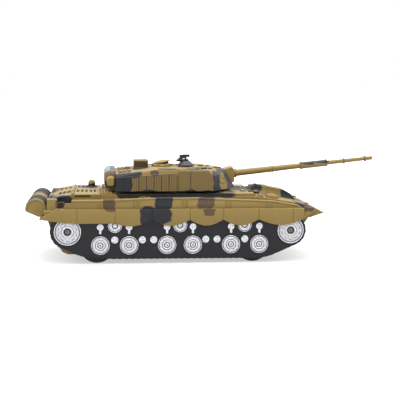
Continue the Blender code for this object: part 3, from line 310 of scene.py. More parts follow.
def blocks(name, limits, material, body, slot, chamfer=0.3, bend=None, **more):
    """Chamfered blocks in one mesh: each row of limits is x0, x1, y0, y1, z0, z1.

    A point stands at the middle plus sign x (half size less chamfer), and full half size along one
    direction of the three.  bend, when given, moves the finished points.
    """
    limits = np.asarray(limits, float).reshape(-1, 6)
    signs, kept, faces = chamfered_unit()
    middle = (limits[:, 0::2] + limits[:, 1::2]) / 2
    half = np.abs(limits[:, 1::2] - limits[:, 0::2]) / 2
    cut = np.minimum(chamfer, half.min(1) * 0.6)[:, None, None]
    full = (np.arange(3)[None, :] == kept[:, None])[None]
    points = middle[:, None] + signs[None] * (half[:, None] - np.where(full, 0.0, cut))
    flat = points.reshape(-1, 3)
    if bend is not None:
        flat = bend(flat)
    every = [[v + BLOCK_POINTS * n for v in face] for n in range(len(limits)) for face in faces]
    return mesh_object(name, flat, every, material, body, slot, **more)


def round_rim(points, angles, centre, radius):
    """Blocks drawn flat, one to an angle, set round a rim in XZ: x runs along the rim and z outward."""
    turn = np.repeat(angles, BLOCK_POINTS)
    radial = radius + points[:, 2]
    return np.stack([centre[0] + radial * np.cos(turn) - points[:, 0] * np.sin(turn), points[:, 1],
                     centre[1] + radial * np.sin(turn) + points[:, 0] * np.cos(turn)], -1)


def slab(name, xs, ys, top, base, material, body, slot, **more):
    """A closed slab whose upper face is the height top(x, y) on a grid, over the height base(x, y)."""
    x, y = np.meshgrid(xs, ys, indexing="ij")
    upper = np.stack([x, y, top(x, y)], -1)
    lower = np.stack([x, y, base(x, y)], -1)
    rows, columns = x.shape
    row, column = np.meshgrid(np.arange(rows - 1), np.arange(columns - 1), indexing="ij")
    quad = np.stack([row * columns + column, (row + 1) * columns + column,
                     (row + 1) * columns + column + 1, row * columns + column + 1], -1).reshape(-1, 4)
    under = quad[:, ::-1] + rows * columns
    rim = np.concatenate([np.arange(columns), np.arange(1, rows) * columns + columns - 1,
                          (rows - 1) * columns + np.arange(columns - 2, -1, -1),
                          np.arange(rows - 2, 0, -1) * columns])
    after = np.roll(rim, -1)
    walls = np.stack([rim, after, after + rows * columns, rim + rows * columns], -1)
    faces = np.concatenate([quad, under, walls]).tolist()
    return mesh_object(name, np.concatenate([upper.reshape(-1, 3), lower.reshape(-1, 3)]), faces,
                       material, body, slot, **more)


def bump(distance, width):
    """One within width of zero, falling smoothly to nothing over a third of it."""
    edge = width / 3
    t = np.clip((width - np.abs(distance)) / edge + 0.5, 0.0, 1.0)
    return t * t * (3 - 2 * t)


def refined(node, material, body, bevel, angle=14.0):
    """A CAD node's shape merged into clean faces, with its sharp edges rounded."""
    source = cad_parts[node]
    bm = bmesh.new()
    bm.from_mesh(source.data)
    bmesh.ops.remove_doubles(bm, verts=bm.verts, dist=1e-6)
    bmesh.ops.dissolve_limit(bm, angle_limit=math.radians(1.0), verts=bm.verts, edges=bm.edges)
    mesh = bpy.data.meshes.new(node + "_finished")
    bm.to_mesh(mesh)
    bm.free()
    mesh.materials.clear()
    mesh.materials.append(material)
    mesh.shade_smooth()
    mesh.set_sharp_from_angle(angle=math.radians(angle))
    obj = bpy.data.objects.new(node + "_finished", mesh)
    bpy.context.scene.collection.objects.link(obj)
    if bevel > 0:
        rounding = obj.modifiers.new("moulded edge", "BEVEL")
        rounding.width = bevel * MM
        rounding.segments = 2
        rounding.limit_method = "ANGLE"
        rounding.angle_limit = math.radians(32)
        rounding.harden_normals = True
    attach(obj, body)
    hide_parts(node)
    return obj


# ---- materials ---------------------------------------------------------------------------------
def coat(node, finish):
    """Give a CAD node its finish and leave its shape."""
    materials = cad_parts[node].data.materials
    materials.clear()
    materials.append(FINISH[finish])


def per_mm(size):
    """Scale of a pattern whose features are size millimetres across."""
    return 1.0 / (size * MM)


def add_node(tree, kind, inputs=None, **settings):
    """Add a node, set its properties, and set each input to a value or link it to a socket."""
    node = tree.nodes.new(kind)
    for name, value in settings.items():
        setattr(node, name, value)
    for socket, value in (inputs or {}).items():
        if isinstance(value, bpy.types.NodeSocket):
            tree.links.new(value, node.inputs[socket])
        else:
            node.inputs[socket].default_value = value
    return node


def new_material(name, **shader_values):
    """An empty Principled material and its tree, shader and object coordinates."""
    material = bpy.data.materials.new(name)
    material.use_nodes = True
    tree = material.node_tree
    tree.nodes.clear()
    shader = add_node(tree, "ShaderNodeBsdfPrincipled", shader_values)
    add_node(tree, "ShaderNodeOutputMaterial", {"Surface": shader.outputs[0]})
    coordinates = add_node(tree, "ShaderNodeTexCoord").outputs["Object"]
    return material, tree, shader, coordinates


def rounded_grain(tree, shader, coordinates, grain_mm, depth_mm):
    """Edges that catch light, and the fine spark-eroded grain of a mould on the faces between."""
    edge = add_node(tree, "ShaderNodeBevel", {"Radius": sizes().edge_round}, samples=4)
    grain = add_node(tree, "ShaderNodeTexNoise", {"Vector": coordinates, "Scale": per_mm(grain_mm),
                                                  "Detail": 3.0, "Roughness": 0.6})
    relief = add_node(tree, "ShaderNodeBump", {"Strength": 0.35, "Distance": depth_mm * MM,
                                               "Height": grain.outputs["Fac"], "Normal": edge.outputs[0]})
    tree.links.new(relief.outputs[0], shader.inputs["Normal"])
    return grain


def shade(base, share):
    """A colour made darker or lighter by a share, kept within white."""
    return [min(1.0, c * share) for c in base[:3]] + [1.0]


# camouflage fields of each paint, some dark ones being painted shadows, as (middle, half size) of a rounded
# box in millimetres
CAMO_AND_PAINTED_SHADOWS = {
    "brown": (
        ((-148.0, -56.0, 60.5), (4.0, 6.0, 3.6)),
        ((-99.7, -58.0, 61.0), (6.2, 10.0, 7.0)),
        ((-3.5, -58.0, 61.5), (7.8, 12.0, 6.4)),
        ((1.0, -61.0, 52.0), (5.4, 4.0, 3.8)),
        ((103.0, -52.0, 54.5), (6.0, 10.0, 3.4)),
        ((-143.0, -22.0, 69.0), (7.0, 9.0, 3.0)),
        ((-5.0, 0.0, 71.0), (30.0, 30.0, 3.0)),
        ((72.0, -18.0, 64.0), (9.0, 7.0, 4.0)),
        ((100.0, 4.0, 56.0), (8.0, 10.0, 6.0)),
        ((-40.0, 60.0, 52.0), (13.0, 8.0, 9.0)),
        ((73.0, 57.0, 56.0), (14.0, 12.0, 9.0)),
        ((-54.5, -43.0, 91.0), (4.0, 6.0, 3.4)),
        ((-75.0, 12.0, 90.0), (9.0, 14.0, 5.0)),
        ((-40.0, -32.0, 93.0), (9.0, 7.0, 2.2)),
        ((-10.0, 42.0, 80.0), (11.0, 9.0, 14.0)),
    ),
    "lilac": (
        ((97.0, -40.0, 58.0), (8.0, 14.0, 3.2)),
        ((60.0, 30.0, 66.0), (9.0, 10.0, 4.0)),
        ((-18.0, 8.0, 97.0), (12.0, 12.0, 3.4)),
        ((-2.0, -12.0, 92.5), (9.0, 12.0, 3.0)),
        ((22.0, -26.0, 82.0), (12.0, 21.0, 13.0)),
        ((22.0, 30.0, 84.0), (10.0, 10.0, 9.0)),
    ),
    "dark": (
        ((-144.0, -47.0, 64.0), (8.0, 7.0, 4.5)),
        ((-53.5, -60.0, 48.5), (15.5, 8.0, 8.5)),
        ((-46.0, -58.0, 62.0), (9.5, 12.0, 7.5)),
        # painted shadow on the hull roof under the turret's overhang, right side
        ((-30.0, -44.5, 68.5), (58.0, 8.0, 4.0)),
        ((-170.0, -33.0, 56.0), (22.0, 15.0, 14.0)),
        ((-170.0, 26.0, 56.0), (22.0, 18.0, 14.0)),
        ((-120.0, 20.0, 70.0), (9.0, 13.0, 3.0)),
        ((46.0, 0.0, 72.0), (15.0, 16.0, 5.0)),
        ((84.0, 32.0, 60.0), (12.0, 10.0, 6.0)),
        ((93.0, -8.0, 63.0), (11.0, 10.0, 8.0)),
        ((104.0, -20.0, 44.0), (12.0, 9.0, 6.0)),
        ((-100.0, 60.0, 52.0), (20.0, 8.0, 10.0)),
        # painted shadow on the hull roof under the turret's overhang, left side
        ((-30.0, 44.5, 68.5), (58.0, 8.0, 4.0)),
        ((30.0, 58.0, 60.0), (17.0, 12.0, 9.0)),
        ((-85.5, -46.0, 79.0), (8.6, 7.0, 14.0)),
        # painted shade in the recess between the turret's rear roof and its side panel
        ((-81.0, -41.0, 88.6), (15.0, 5.0, 3.2)),
        ((9.5, -40.0, 80.0), (4.2, 8.0, 14.0)),
        ((-98.0, 0.0, 76.0), (8.0, 40.0, 3.0)),
        ((-62.0, 34.0, 92.0), (10.0, 8.0, 4.0)),
        ((-30.0, 20.0, 92.5), (11.0, 9.0, 5.0)),
        ((-12.0, -30.0, 93.0), (10.0, 5.0, 2.4)),
        ((-60.0, 45.0, 82.0), (14.0, 9.0, 14.0)),
    ),
}
# a streak of bare sand left between the cheek's grey fields
CHEEK_STREAK = ((19.5, -32.0, 80.5), (5.4, 14.0, 8.5))
# two overlapping dark fields along the top of the fume extractor
EXTRACTOR_PATCH = {"dark": (((112.0, 0.0, 99.2), (8.0, 9.0, 3.7)), ((127.0, 0.0, 100.8), (9.0, 9.0, 3.7)))}


def painted_abs(name, fields=CAMO_AND_PAINTED_SHADOWS, bare=None, sand=None, roughness=0.5, wander_mm=9.0):
    """Camouflage, with a few painted shadows, airbrushed on moulded sand-coloured ABS: satin, with soft edges
    between the paints.

    Each field is a rounded box: the sum of the fourth powers of the offsets over the half sizes is
    one at its edge.  The lowest sum of a paint's fields, with a little noise, gives that paint, and
    bare is a field that the airbrush left out.
    """
    material, tree, shader, coordinates = new_material(name, Roughness=roughness)
    shader.inputs["Specular IOR Level"].default_value = 0.35
    grain = rounded_grain(tree, shader, coordinates, 0.5, 0.05)
    # a field's outline wanders over about 15 mm, as a hand-held airbrush does
    wander = add_node(tree, "ShaderNodeTexNoise",
                      {"Vector": coordinates, "Scale": per_mm(15.15), "Detail": 2.0})
    offset = add_node(tree, "ShaderNodeVectorMath",
                      {0: wander.outputs["Color"], 1: (0.5, 0.5, 0.5)}, operation="SUBTRACT")
    place = add_node(tree, "ShaderNodeVectorMath",
                     {0: offset.outputs[0], 1: (wander_mm * MM,) * 3, 2: coordinates},
                      operation="MULTIPLY_ADD")
    # moulded plastic is never quite one colour over a large face
    mottle = add_node(tree, "ShaderNodeTexNoise",
                      {"Vector": coordinates, "Scale": per_mm(22.2), "Detail": 4.0})
    base = sand or colours().sand
    result = add_node(tree, "ShaderNodeMix",
                      {0: mottle.outputs["Fac"], 6: shade(base, 0.93), 7: shade(base, 1.07)},
                      data_type="RGBA").outputs[2]

    def box_sum(middle, half):
        scale = [1.0 / (h * MM) for h in half]
        shift = [-m / h for m, h in zip(middle, half)]
        unit = add_node(tree, "ShaderNodeVectorMath", {0: place.outputs[0], 1: scale, 2: shift},
                        operation="MULTIPLY_ADD")
        squared = add_node(tree, "ShaderNodeVectorMath", {0: unit.outputs[0], 1: unit.outputs[0]},
                           operation="MULTIPLY")
        return add_node(tree, "ShaderNodeVectorMath", {0: squared.outputs[0], 1: squared.outputs[0]},
                        operation="DOT_PRODUCT").outputs["Value"]

    def spray(under, total, paint):
        """Paint where the sum is under one, with an edge that fades over its last quarter."""
        cover = add_node(tree, "ShaderNodeMapRange", {"Value": total, "From Min": 0.75, "From Max": 1.3,
                                                      "To Min": 1.0, "To Max": 0.0},
                         interpolation_type="SMOOTHSTEP")
        return add_node(tree, "ShaderNodeMix", {0: cover.outputs[0], 6: under, 7: paint},
                        data_type="RGBA").outputs[2]

    for paint, boxes in fields.items():
        nearest = box_sum(*boxes[0])
        for middle, half in boxes[1:]:
            nearest = add_node(tree, "ShaderNodeMath", {0: nearest, 1: box_sum(middle, half)},
                               operation="MINIMUM").outputs[0]
        result = spray(result, nearest, getattr(colours(), paint))
    if bare is not None:
        result = spray(result, box_sum(*bare), base)
    # dirt, and painted shade, darken the moulded lines
    depth = add_node(tree, "ShaderNodeAttribute", attribute_name="hollow")
    result = add_node(tree, "ShaderNodeMix", {0: depth.outputs["Fac"], 6: result, 7: linear("#0E0C08")},
                      data_type="RGBA").outputs[2]
    tree.links.new(result, shader.inputs["Base Color"])
    # the grain's hollows are a little duller than its tops
    dull = add_node(tree, "ShaderNodeMapRange", {"Value": grain.outputs["Fac"], "To Min": roughness - 0.05,
                                                 "To Max": roughness + 0.08})
    tree.links.new(dull.outputs[0], shader.inputs["Roughness"])
    return material


def moulded_plastic(name, base, roughness=0.45, grain_mm=0.6, depth_mm=0.05):
    """Self-coloured ABS straight from the mould: even colour, faint mottle, satin grain."""
    material, tree, shader, coordinates = new_material(name, Roughness=roughness)
    shader.inputs["Specular IOR Level"].default_value = 0.3
    rounded_grain(tree, shader, coordinates, grain_mm, depth_mm)
    mottle = add_node(tree, "ShaderNodeTexNoise",
                      {"Vector": coordinates, "Scale": per_mm(16.67), "Detail": 4.0})
    tone = add_node(tree, "ShaderNodeMix",
                    {0: mottle.outputs["Fac"], 6: shade(base, 0.85), 7: shade(base, 1.2)},
                    data_type="RGBA")
    tree.links.new(tone.outputs[2], shader.inputs["Base Color"])
    return material


def stamped_foil(name, base):
    """Hot-stamped foil over moulded ABS: a soft mirror on the raised lines, bare black in the hollows, with
    painted shade there too.
    """
    material, tree, shader, coordinates = new_material(name, Metallic=0.55, Roughness=0.36)
    rounded_grain(tree, shader, coordinates, 0.9, 0.12)
    # the foil barely takes on spots about a millimetre and a half across
    spots = add_node(tree, "ShaderNodeTexNoise",
                     {"Vector": coordinates, "Scale": per_mm(1.613), "Detail": 4.0,
                                                  "Roughness": 0.7})
    thin = add_node(tree, "ShaderNodeMapRange",
                    {"Value": spots.outputs["Fac"], "From Min": 0.42, "From Max": 0.68,
                                                 "To Min": 0.0, "To Max": 0.75})
    worn = add_node(tree, "ShaderNodeMix",
                    {0: thin.outputs[0], 6: base, 7: linear("#6E6E74")}, data_type="RGBA")
    # the hollow attribute takes the foil towards near black: bare plastic in the grooves, with painted shade
    # in them and over the idler's face
    depth = add_node(tree, "ShaderNodeAttribute", attribute_name="hollow")
    tone = add_node(tree, "ShaderNodeMix",
                    {0: depth.outputs["Fac"], 6: worn.outputs[2], 7: linear("#1C1C20")},
                    data_type="RGBA")
    tree.links.new(tone.outputs[2], shader.inputs["Base Color"])
    return material


def soft_rubber(name, base):
    """Moulded soft rubber: dull black, dusty where it rolls."""
    material, tree, shader, coordinates = new_material(name, Roughness=0.82)
    rounded_grain(tree, shader, coordinates, 0.8, 0.1)
    dust = add_node(tree, "ShaderNodeTexNoise",
                    {"Vector": coordinates, "Scale": per_mm(6.667), "Detail": 6.0})
    tone = add_node(tree, "ShaderNodeMix", {0: dust.outputs["Fac"], 6: base, 7: linear("#2C2C2D")},
                    data_type="RGBA")
    tree.links.new(tone.outputs[2], shader.inputs["Base Color"])
    return material


def plated_steel(name, code):
    """Bright zinc-plated or drawn steel: a metal with fine scratches."""
    material, tree, shader, coordinates = new_material(name, Metallic=1.0, Roughness=0.35)
    scratches = add_node(tree, "ShaderNodeTexNoise", {"Vector": coordinates, "Scale": per_mm(0.714),
                                                      "Detail": 3.0})
    sheen = add_node(tree, "ShaderNodeMapRange", {"Value": scratches.outputs["Fac"], "To Min": 0.28,
                                                  "To Max": 0.48})
    tree.links.new(sheen.outputs[0], shader.inputs["Roughness"])
    tone = add_node(tree, "ShaderNodeMix",
                    {0: scratches.outputs["Fac"], 6: linear(code), 7: linear("#C9CBCE")},
                    data_type="RGBA")
    tree.links.new(tone.outputs[2], shader.inputs["Base Color"])
    return material


def make_finishes():
    """Every material of the toy, named for what it is and how it was made."""
    # body mouldings: satin sand ABS under airbrushed camouflage; the turret's side panels get a darker copy
    # of it, a painted shade
    FINISH["camo"] = painted_abs("camouflaged_abs_with_painted_shade", bare=CHEEK_STREAK)
    FINISH["turret"] = painted_abs("turret_camouflaged_abs_in_painted_shade", bare=CHEEK_STREAK, sand=linear("#5F4D24"))
    FINISH["barrel"] = painted_abs("barrel_abs", fields=EXTRACTOR_PATCH, wander_mm=2.0)
    # fittings in one paint: the same satin grain without the camouflage
    FINISH["tan"] = painted_abs("tan_fitting_abs", fields={}, sand=linear("#6B5428"))
    FINISH["brown"] = painted_abs("brown_painted_abs", fields={}, sand=linear("#5A4722"))
    # self-coloured mouldings: black and greys that only the grain lightens; the near-black one also stands
    # for painted shade in slots, gaps and openings
    FINISH["black"] = moulded_plastic("black_abs", colours().track)
    FINISH["hollow"] = moulded_plastic("near_black_plastic_and_painted_shade", linear("#141517"), roughness=0.7)
    FINISH["hub"] = moulded_plastic("hub_grey_plastic", colours().hub)
    FINISH["lid"] = moulded_plastic("light_grey_abs", linear("#6A6D73"))
    FINISH["gunmetal"] = moulded_plastic("satin_black_abs", linear("#1B1C20"), roughness=0.35)
    # bright stamped faces, dull tyres, and screws and shafts that glint
    FINISH["silver"] = stamped_foil("hot_stamped_silver", colours().silver)
    FINISH["rubber"] = soft_rubber("tyre_rubber", colours().rubber)
    FINISH["steel"] = plated_steel("zinc_plated_steel", "#9A9DA0")
    FINISH["dull"] = moulded_plastic("blackened_screw_steel", linear("#55584F"), roughness=0.4)
    # inside the tub: drawn motor cans, waxy white gears, green laminate and shiny blue wrap
    FINISH["can"] = plated_steel("drawn_motor_can", "#A9ABAE")
    FINISH["nylon"] = moulded_plastic("natural_nylon", linear("#DAD7CC"), roughness=0.5)
    FINISH["laminate"] = moulded_plastic("green_circuit_laminate", linear("#1F5A33"), roughness=0.35)
    FINISH["wrap"] = moulded_plastic("blue_cell_wrap", linear("#2F5C9E"), roughness=0.3)


# ---- hull --------------------------------------------------------------------------------------
def hull_shells():
    """Both hull shells, side strips, and a rail: one small section carried along the side's top edge."""
    for node in ("upper_hull", "lower_hull"):
        refined(node, FINISH["camo"], "hull", 0.0)
    edge_x, edge_z = zip(*SIDE_EDGE)
    xs = np.linspace(edge_x[0], edge_x[-1] - 2, 60)
    z = np.interp(xs, edge_x, edge_z)
    section = np.array([(55.2, -1.4), (56.5, -1.2), (56.5, -0.3), (55.9, 0.25), (55.2, 0.3)])
    for side, sign in SIDES:
        rows = []
        for x in [strip + offset for strip in HULL_STRIPS for offset in (-2.0, 2.0)]:
            top = np.interp(x, edge_x, edge_z)
            rows.append((x - 0.7, x + 0.7, sign * 55.6, sign * 56.7, 55.3, top - 0.2))
        blocks("hull_side_strips_" + side, rows, FINISH["camo"], "hull", "camo_shell", 0.3)
        rings = grid(xs[:, None], sign * section[:, 0], z[:, None] + section[:, 1])
        carried("hull_side_rail_" + side, rings, FINISH["camo"], "hull", "camo_shell")


def skirts():
    """A rounded strip along X whose lower edge drops by one half sine a panel, less a bump at each seam."""
    depth, width = mm(sizes().seam_depth), mm(sizes().seam_width)
    seams = SKIRT_SEAMS + (SKIRT_LAST_SEAM,)
    near_seams = [np.linspace(s - 1.0, s + 1.0, 13) for s in seams]
    steps = np.arange(FLAP_TIP[0] + 0.4, SKIRT_FRONT, 0.9)
    xs = np.unique(np.concatenate([steps, *near_seams, [SKIRT_FRONT]]))
    low = np.interp(xs,
                    (FLAP_TIP[0], FLAP_TIP[0] + 4.5, FLAP_BEND[0] - 9.6, FLAP_BEND[0] + 6.8, SKIRT_SEAMS[0]),
                    (FLAP_TIP[1] - 0.4, FLAP_TIP[1] - 1.4, SKIRT_CUSP, SKIRT_FLAT + 0.5, SKIRT_FLAT))
    cusps = SKIRT_SEAMS[1:] + (SKIRT_FRONT,)
    for start, end in zip(cusps, cusps[1:]):
        # the first scallop starts from the flat edge, the others from a cusp
        rise = SKIRT_CUSP - SKIRT_FLAT if start == cusps[0] else 0.0
        t = np.clip((xs - start) / (end - start), 0, 1)
        level = SKIRT_CUSP - rise * (1 - t) - (SKIRT_SCALLOP - rise / 2) * np.sin(np.pi * t)
        low = np.where((xs >= start) & (xs <= end), level, low)
    high = np.interp(xs, (FLAP_TIP[0], FLAP_BEND[0], FLAP_BEND[0] + 7.0, SKIRT_FRONT),
                     (FLAP_TIP[1] + 0.2, FLAP_BEND[1], FENDER_TOP, FENDER_TOP))
    seam = sum(bump(xs - s, width / 2) for s in seams) * depth
    # corners of the section as (distance from the middle plane, rounding, share of the seam's depth)
    corners = ((SKIRT_INNER, 0.0, 0), (SKIRT_OUTER - SKIRT_ROUND, 0.0, 0),
               (SKIRT_OUTER - SKIRT_ROUND * 0.3, SKIRT_ROUND * 0.3, 1), (SKIRT_OUTER, SKIRT_ROUND, 1))
    section = [(y - seam * grooved, low + push) for y, push, grooved in corners]
    section += [(y - seam * grooved, np.maximum(high - push, low + push + 0.02))
                for y, push, grooved in corners[::-1]]
    for side, sign in SIDES:
        rings = np.stack([grid(xs, sign * y, z) for y, z in section], 1)
        obj = carried("skirt_plate_" + side, rings, FINISH["camo"], "hull", "camo_shell")
        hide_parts("skirt_" + side)


def wheel_relief(kind, r, angle):
    """Height and hollow of a face at radius r (as a share) and angle: sums of rings, some cut by a cosine."""
    if kind in RAISED:
        height = 0.08 + sum(h * bump(r - middle, width) for h, middle, width in RAISED[kind])
        hollow = sum(d * bump(r - middle, width) for d, middle, width in SUNK_AND_SHADED[kind])
    else:
        # bolts and arm bosses are domes with broken ring lines
        height = 0.45 * np.sqrt(np.clip(1 - r * r, 0, 1)) + 0.1 * bump(r, 0.35)
        arcs = np.clip(1.2 * np.cos(3 * angle) + 0.5, 0, 1)
        hollow = (0.75 * bump(r - 0.42, 0.05) + 0.45 * bump(r - 0.93, 0.04)) * arcs
    if kind == "idler":
        spokes = np.clip(np.cos(10 * angle) * 2.5, 0, 1)
        height += 0.12 * bump(r - 0.70, 0.13) * spokes
        hollow += 0.45 * bump(r - 0.70, 0.040) * (1 - spokes) + 0.25 * bump(r - 0.57, 0.03) * spokes
    if kind == "road":
        lobes = 0.02 * np.cos(8 * angle)
        height += 0.36 * bump(r, 0.24 + lobes)
        hollow += 0.85 * bump(r - 0.545 + lobes, 0.040) + 0.95 * bump(r - 0.290 + lobes, 0.052)
    return height, hollow


def wheel_face(kind, centre, radius, sign, inner):
    """Rings of a wheel face: radius x (cos, sin) across, and the face's height plus the relief outward."""
    large = radius > 5
    radii = np.linspace(max(inner / radius, 0.02), 1.0, 64 if large else 26)
    angle = np.linspace(0, 2 * math.pi, 96 if large else 40, endpoint=False)
    r, a = np.meshgrid(radii, angle, indexing="ij")
    height, hollow = wheel_relief(kind, r, a)
    y = FACE_PLANE + np.clip(height, 0.08, 0.47) - 0.07 * np.clip(hollow, 0.0, 1.0)
    top = grid(centre[0] + radius * r * np.cos(a), sign * y, centre[1] + radius * r * np.sin(a))
    back, rim = top[:1].copy(), top[-1:].copy()
    back[..., 1] = sign * (FACE_PLANE - FACE_SET_IN)
    rim[..., 1] = sign * (FACE_PLANE - FACE_SET_IN)
    # a face with a well is a washer, closed on its own first ring
    return np.concatenate([back, top, rim, back] if inner else [back, top, rim])


def wheel_faces():
    """All stamped faces of a side, one object to each kind, ring lines left in the bare black plastic and
    darkened further as painted shade.
    """
    s = sizes()
    groups = (
        ("idler", IDLERS, mm(s.idler_radius), IDLER_WELL),
        ("road", [(x, ROAD_Z) for x in ROAD_WHEELS], mm(s.road_radius), 0.0),
        ("roller", [(x, ROLLER_Z) for x in ROLLERS], mm(s.roller_radius), 0.0),
        ("bolt", [(x, BOLT_Z) for x in BOLTS], mm(s.bolt_radius), 0.0),
        ("arm_boss", [(x, ARM_Z) for x in ROAD_WHEELS], mm(s.arm_radius), 0.0),
    )
    for side, sign in SIDES:
        for kind, centres, radius, inner in groups:
            def hollow(places):
                offset = places[:, None, [0, 2]] - np.array(centres)[None]
                distance = np.linalg.norm(offset, axis=2)
                pick = np.arange(len(places))
                nearest = distance.argmin(1)
                angle = np.arctan2(offset[pick, nearest, 1], offset[pick, nearest, 0])
                _, depth = wheel_relief(kind, distance[pick, nearest] / radius, angle)
                return np.clip(depth, 0.0, 1.0)

            faces_of_kind = [wheel_face(kind, centre, radius, sign, inner) for centre in centres]
            points, faces = joined(faces_of_kind, caps=not inner)
            mesh_object(f"{kind}_faces_{side}", points, faces, FINISH["silver"], "hull", "silver_foil",
                        hollow=hollow, angle=50)
        stem_top = ARM_Z - mm(s.arm_radius) + 0.8
        stems = [(x - 1.15, x + 1.15, sign * 57.3, sign * 58.1, ARM_FOOT, stem_top) for x in ROAD_WHEELS]
        blocks("arm_stems_" + side, stems, FINISH["silver"], "hull", "silver_foil", 0.35)


def fairing_edge():
    """Points round the moulded track: an arc round the rear idler, the ground run, an arc up in front."""
    def bow(centre, radius, start, end):
        a = np.radians(np.linspace(start, end, 24))
        return np.stack([centre[0] + radius * np.cos(a), centre[1] + radius * np.sin(a)], -1)

    rear, front = IDLERS
    ground = np.array([(-128.4, 8.4), (-112.0, 6.0), (-96.0, 5.2), (53.7, 4.6), (63.7, 7.0)])
    return np.concatenate([bow(rear, 17.2, 150, 240), ground, bow(front, 15.8, -64, 32)])


def track_fairings():
    """Pads evenly spaced along the track's outline, each a flat block turned to the outline's tangent."""
    edge = fairing_edge()
    run = np.concatenate([[0], np.cumsum(np.linalg.norm(np.diff(edge, axis=0), axis=1))])
    at = np.arange(3.0, run[-1] - 2.0, mm(sizes().pad_pitch))

    def on_edge(distance):
        return np.stack([np.interp(distance, run, edge[:, 0]), np.interp(distance, run, edge[:, 1])], -1)

    x, z = on_edge(at).T
    tangent = on_edge(at + 0.5) - on_edge(at - 0.5)
    tangent /= np.linalg.norm(tangent, axis=1)[:, None]
    # at the running wheels' slots a pad is two short pieces along the track's edges
    whole = ((TRACK_OUTER, TRACK_INNER),)
    split = ((TRACK_OUTER, 51.8), (40.0, TRACK_INNER))
    nearest_axle = np.min([np.abs(x - axle_x) for _, axle_x in AXLES], axis=0)
    clear = (nearest_axle > SLOT_REACH) | (z > 20)
    pads = [(n, span) for n in range(len(at)) for span in (whole if clear[n] else split)]
    owner = np.repeat([n for n, _ in pads], BLOCK_POINTS)

    def wrap(points):
        along, out = points[:, 0], points[:, 2]
        tx, tz = tangent[owner].T
        return np.stack([x[owner] + along * tx + out * tz, points[:, 1],
                         z[owner] + along * tz - out * tx], -1)

    for side, sign in SIDES:
        coat("track_fairing_" + side, "black")
        rows = [(-2.1, 2.1, sign * inner, sign * outer, -0.5, 0.35) for _, (outer, inner) in pads]
        blocks("track_pads_" + side, rows, FINISH["black"], "hull", "black_plastic", 0.3, bend=wrap)


def running_gear():
    """Wheels, screws and the drive keep their CAD shape; bars set round the tyres and wells in the idlers."""
    finishes = {"tyre_": "rubber", "wheel_": "black", "axle_": "steel", "front_axle": "steel",
                "trunnion_pin": "steel", "fairing_screw": "dull", "hull_screw": "steel",
                "battery_door_screw": "steel", "final_gear": "nylon", "compound_gear": "nylon",
                "motor_pinion": "nylon", "gearbox_frame": "nylon", "motor_right": "can", "motor_left": "can",
                "circuit_board": "laminate", "battery_pack": "wrap", "switch_body": "black",
                "power_switch": "black", "turret_retainer": "black", "battery_door": "camo",
                "turret_base": "camo", "ventilator_cap": "camo", "commander_cupola": "camo",
                "loader_cupola": "camo",
                "gun_mantlet": "barrel"}
    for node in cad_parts:
        for start, finish in finishes.items():
            if node.startswith(start):
                coat(node, finish)
                break
    angles = np.linspace(0, 2 * math.pi, 36, endpoint=False)
    for (end, x), (side, _) in itertools.product(AXLES, SIDES):
        low, high = cad(f"tyre_{end}_{side}")
        bars = np.tile((-0.8, 0.8, low[1] + 1.3, high[1] - 1.3, -0.6, 0.2), (len(angles), 1))
        blocks(f"tyre_tread_{end}_{side}", bars, FINISH["rubber"], f"{end}_wheel_{side}", "tyre_rubber", 0.2,
               bend=lambda points: round_rim(points, angles, (x, AXLE_Z), TREAD_FOOT))
    # grey lining and its lip in each idler's screw well
    lining = np.array([(3.55, 55.6), (3.9, 55.6), (3.9, 58.0), (3.7, 58.15), (3.45, 58.15), (3.35, 58.0),
                       (3.35, 55.6)])
    for (side, sign), (end, centre) in itertools.product(SIDES, zip(("rear", "front"), IDLERS)):
        rings = turned(lining * (1, sign), 40, centre, "Y")
        carried(f"idler_well_{end}_{side}", np.concatenate([rings, rings[:1]]), FINISH["hub"], "hull",
                "black_plastic", caps=False)


# ---- deck, drums and glacis --------------------------------------------------------------------
def deck_height(x):
    return np.interp(x, *zip(*DECK_SLOPE))


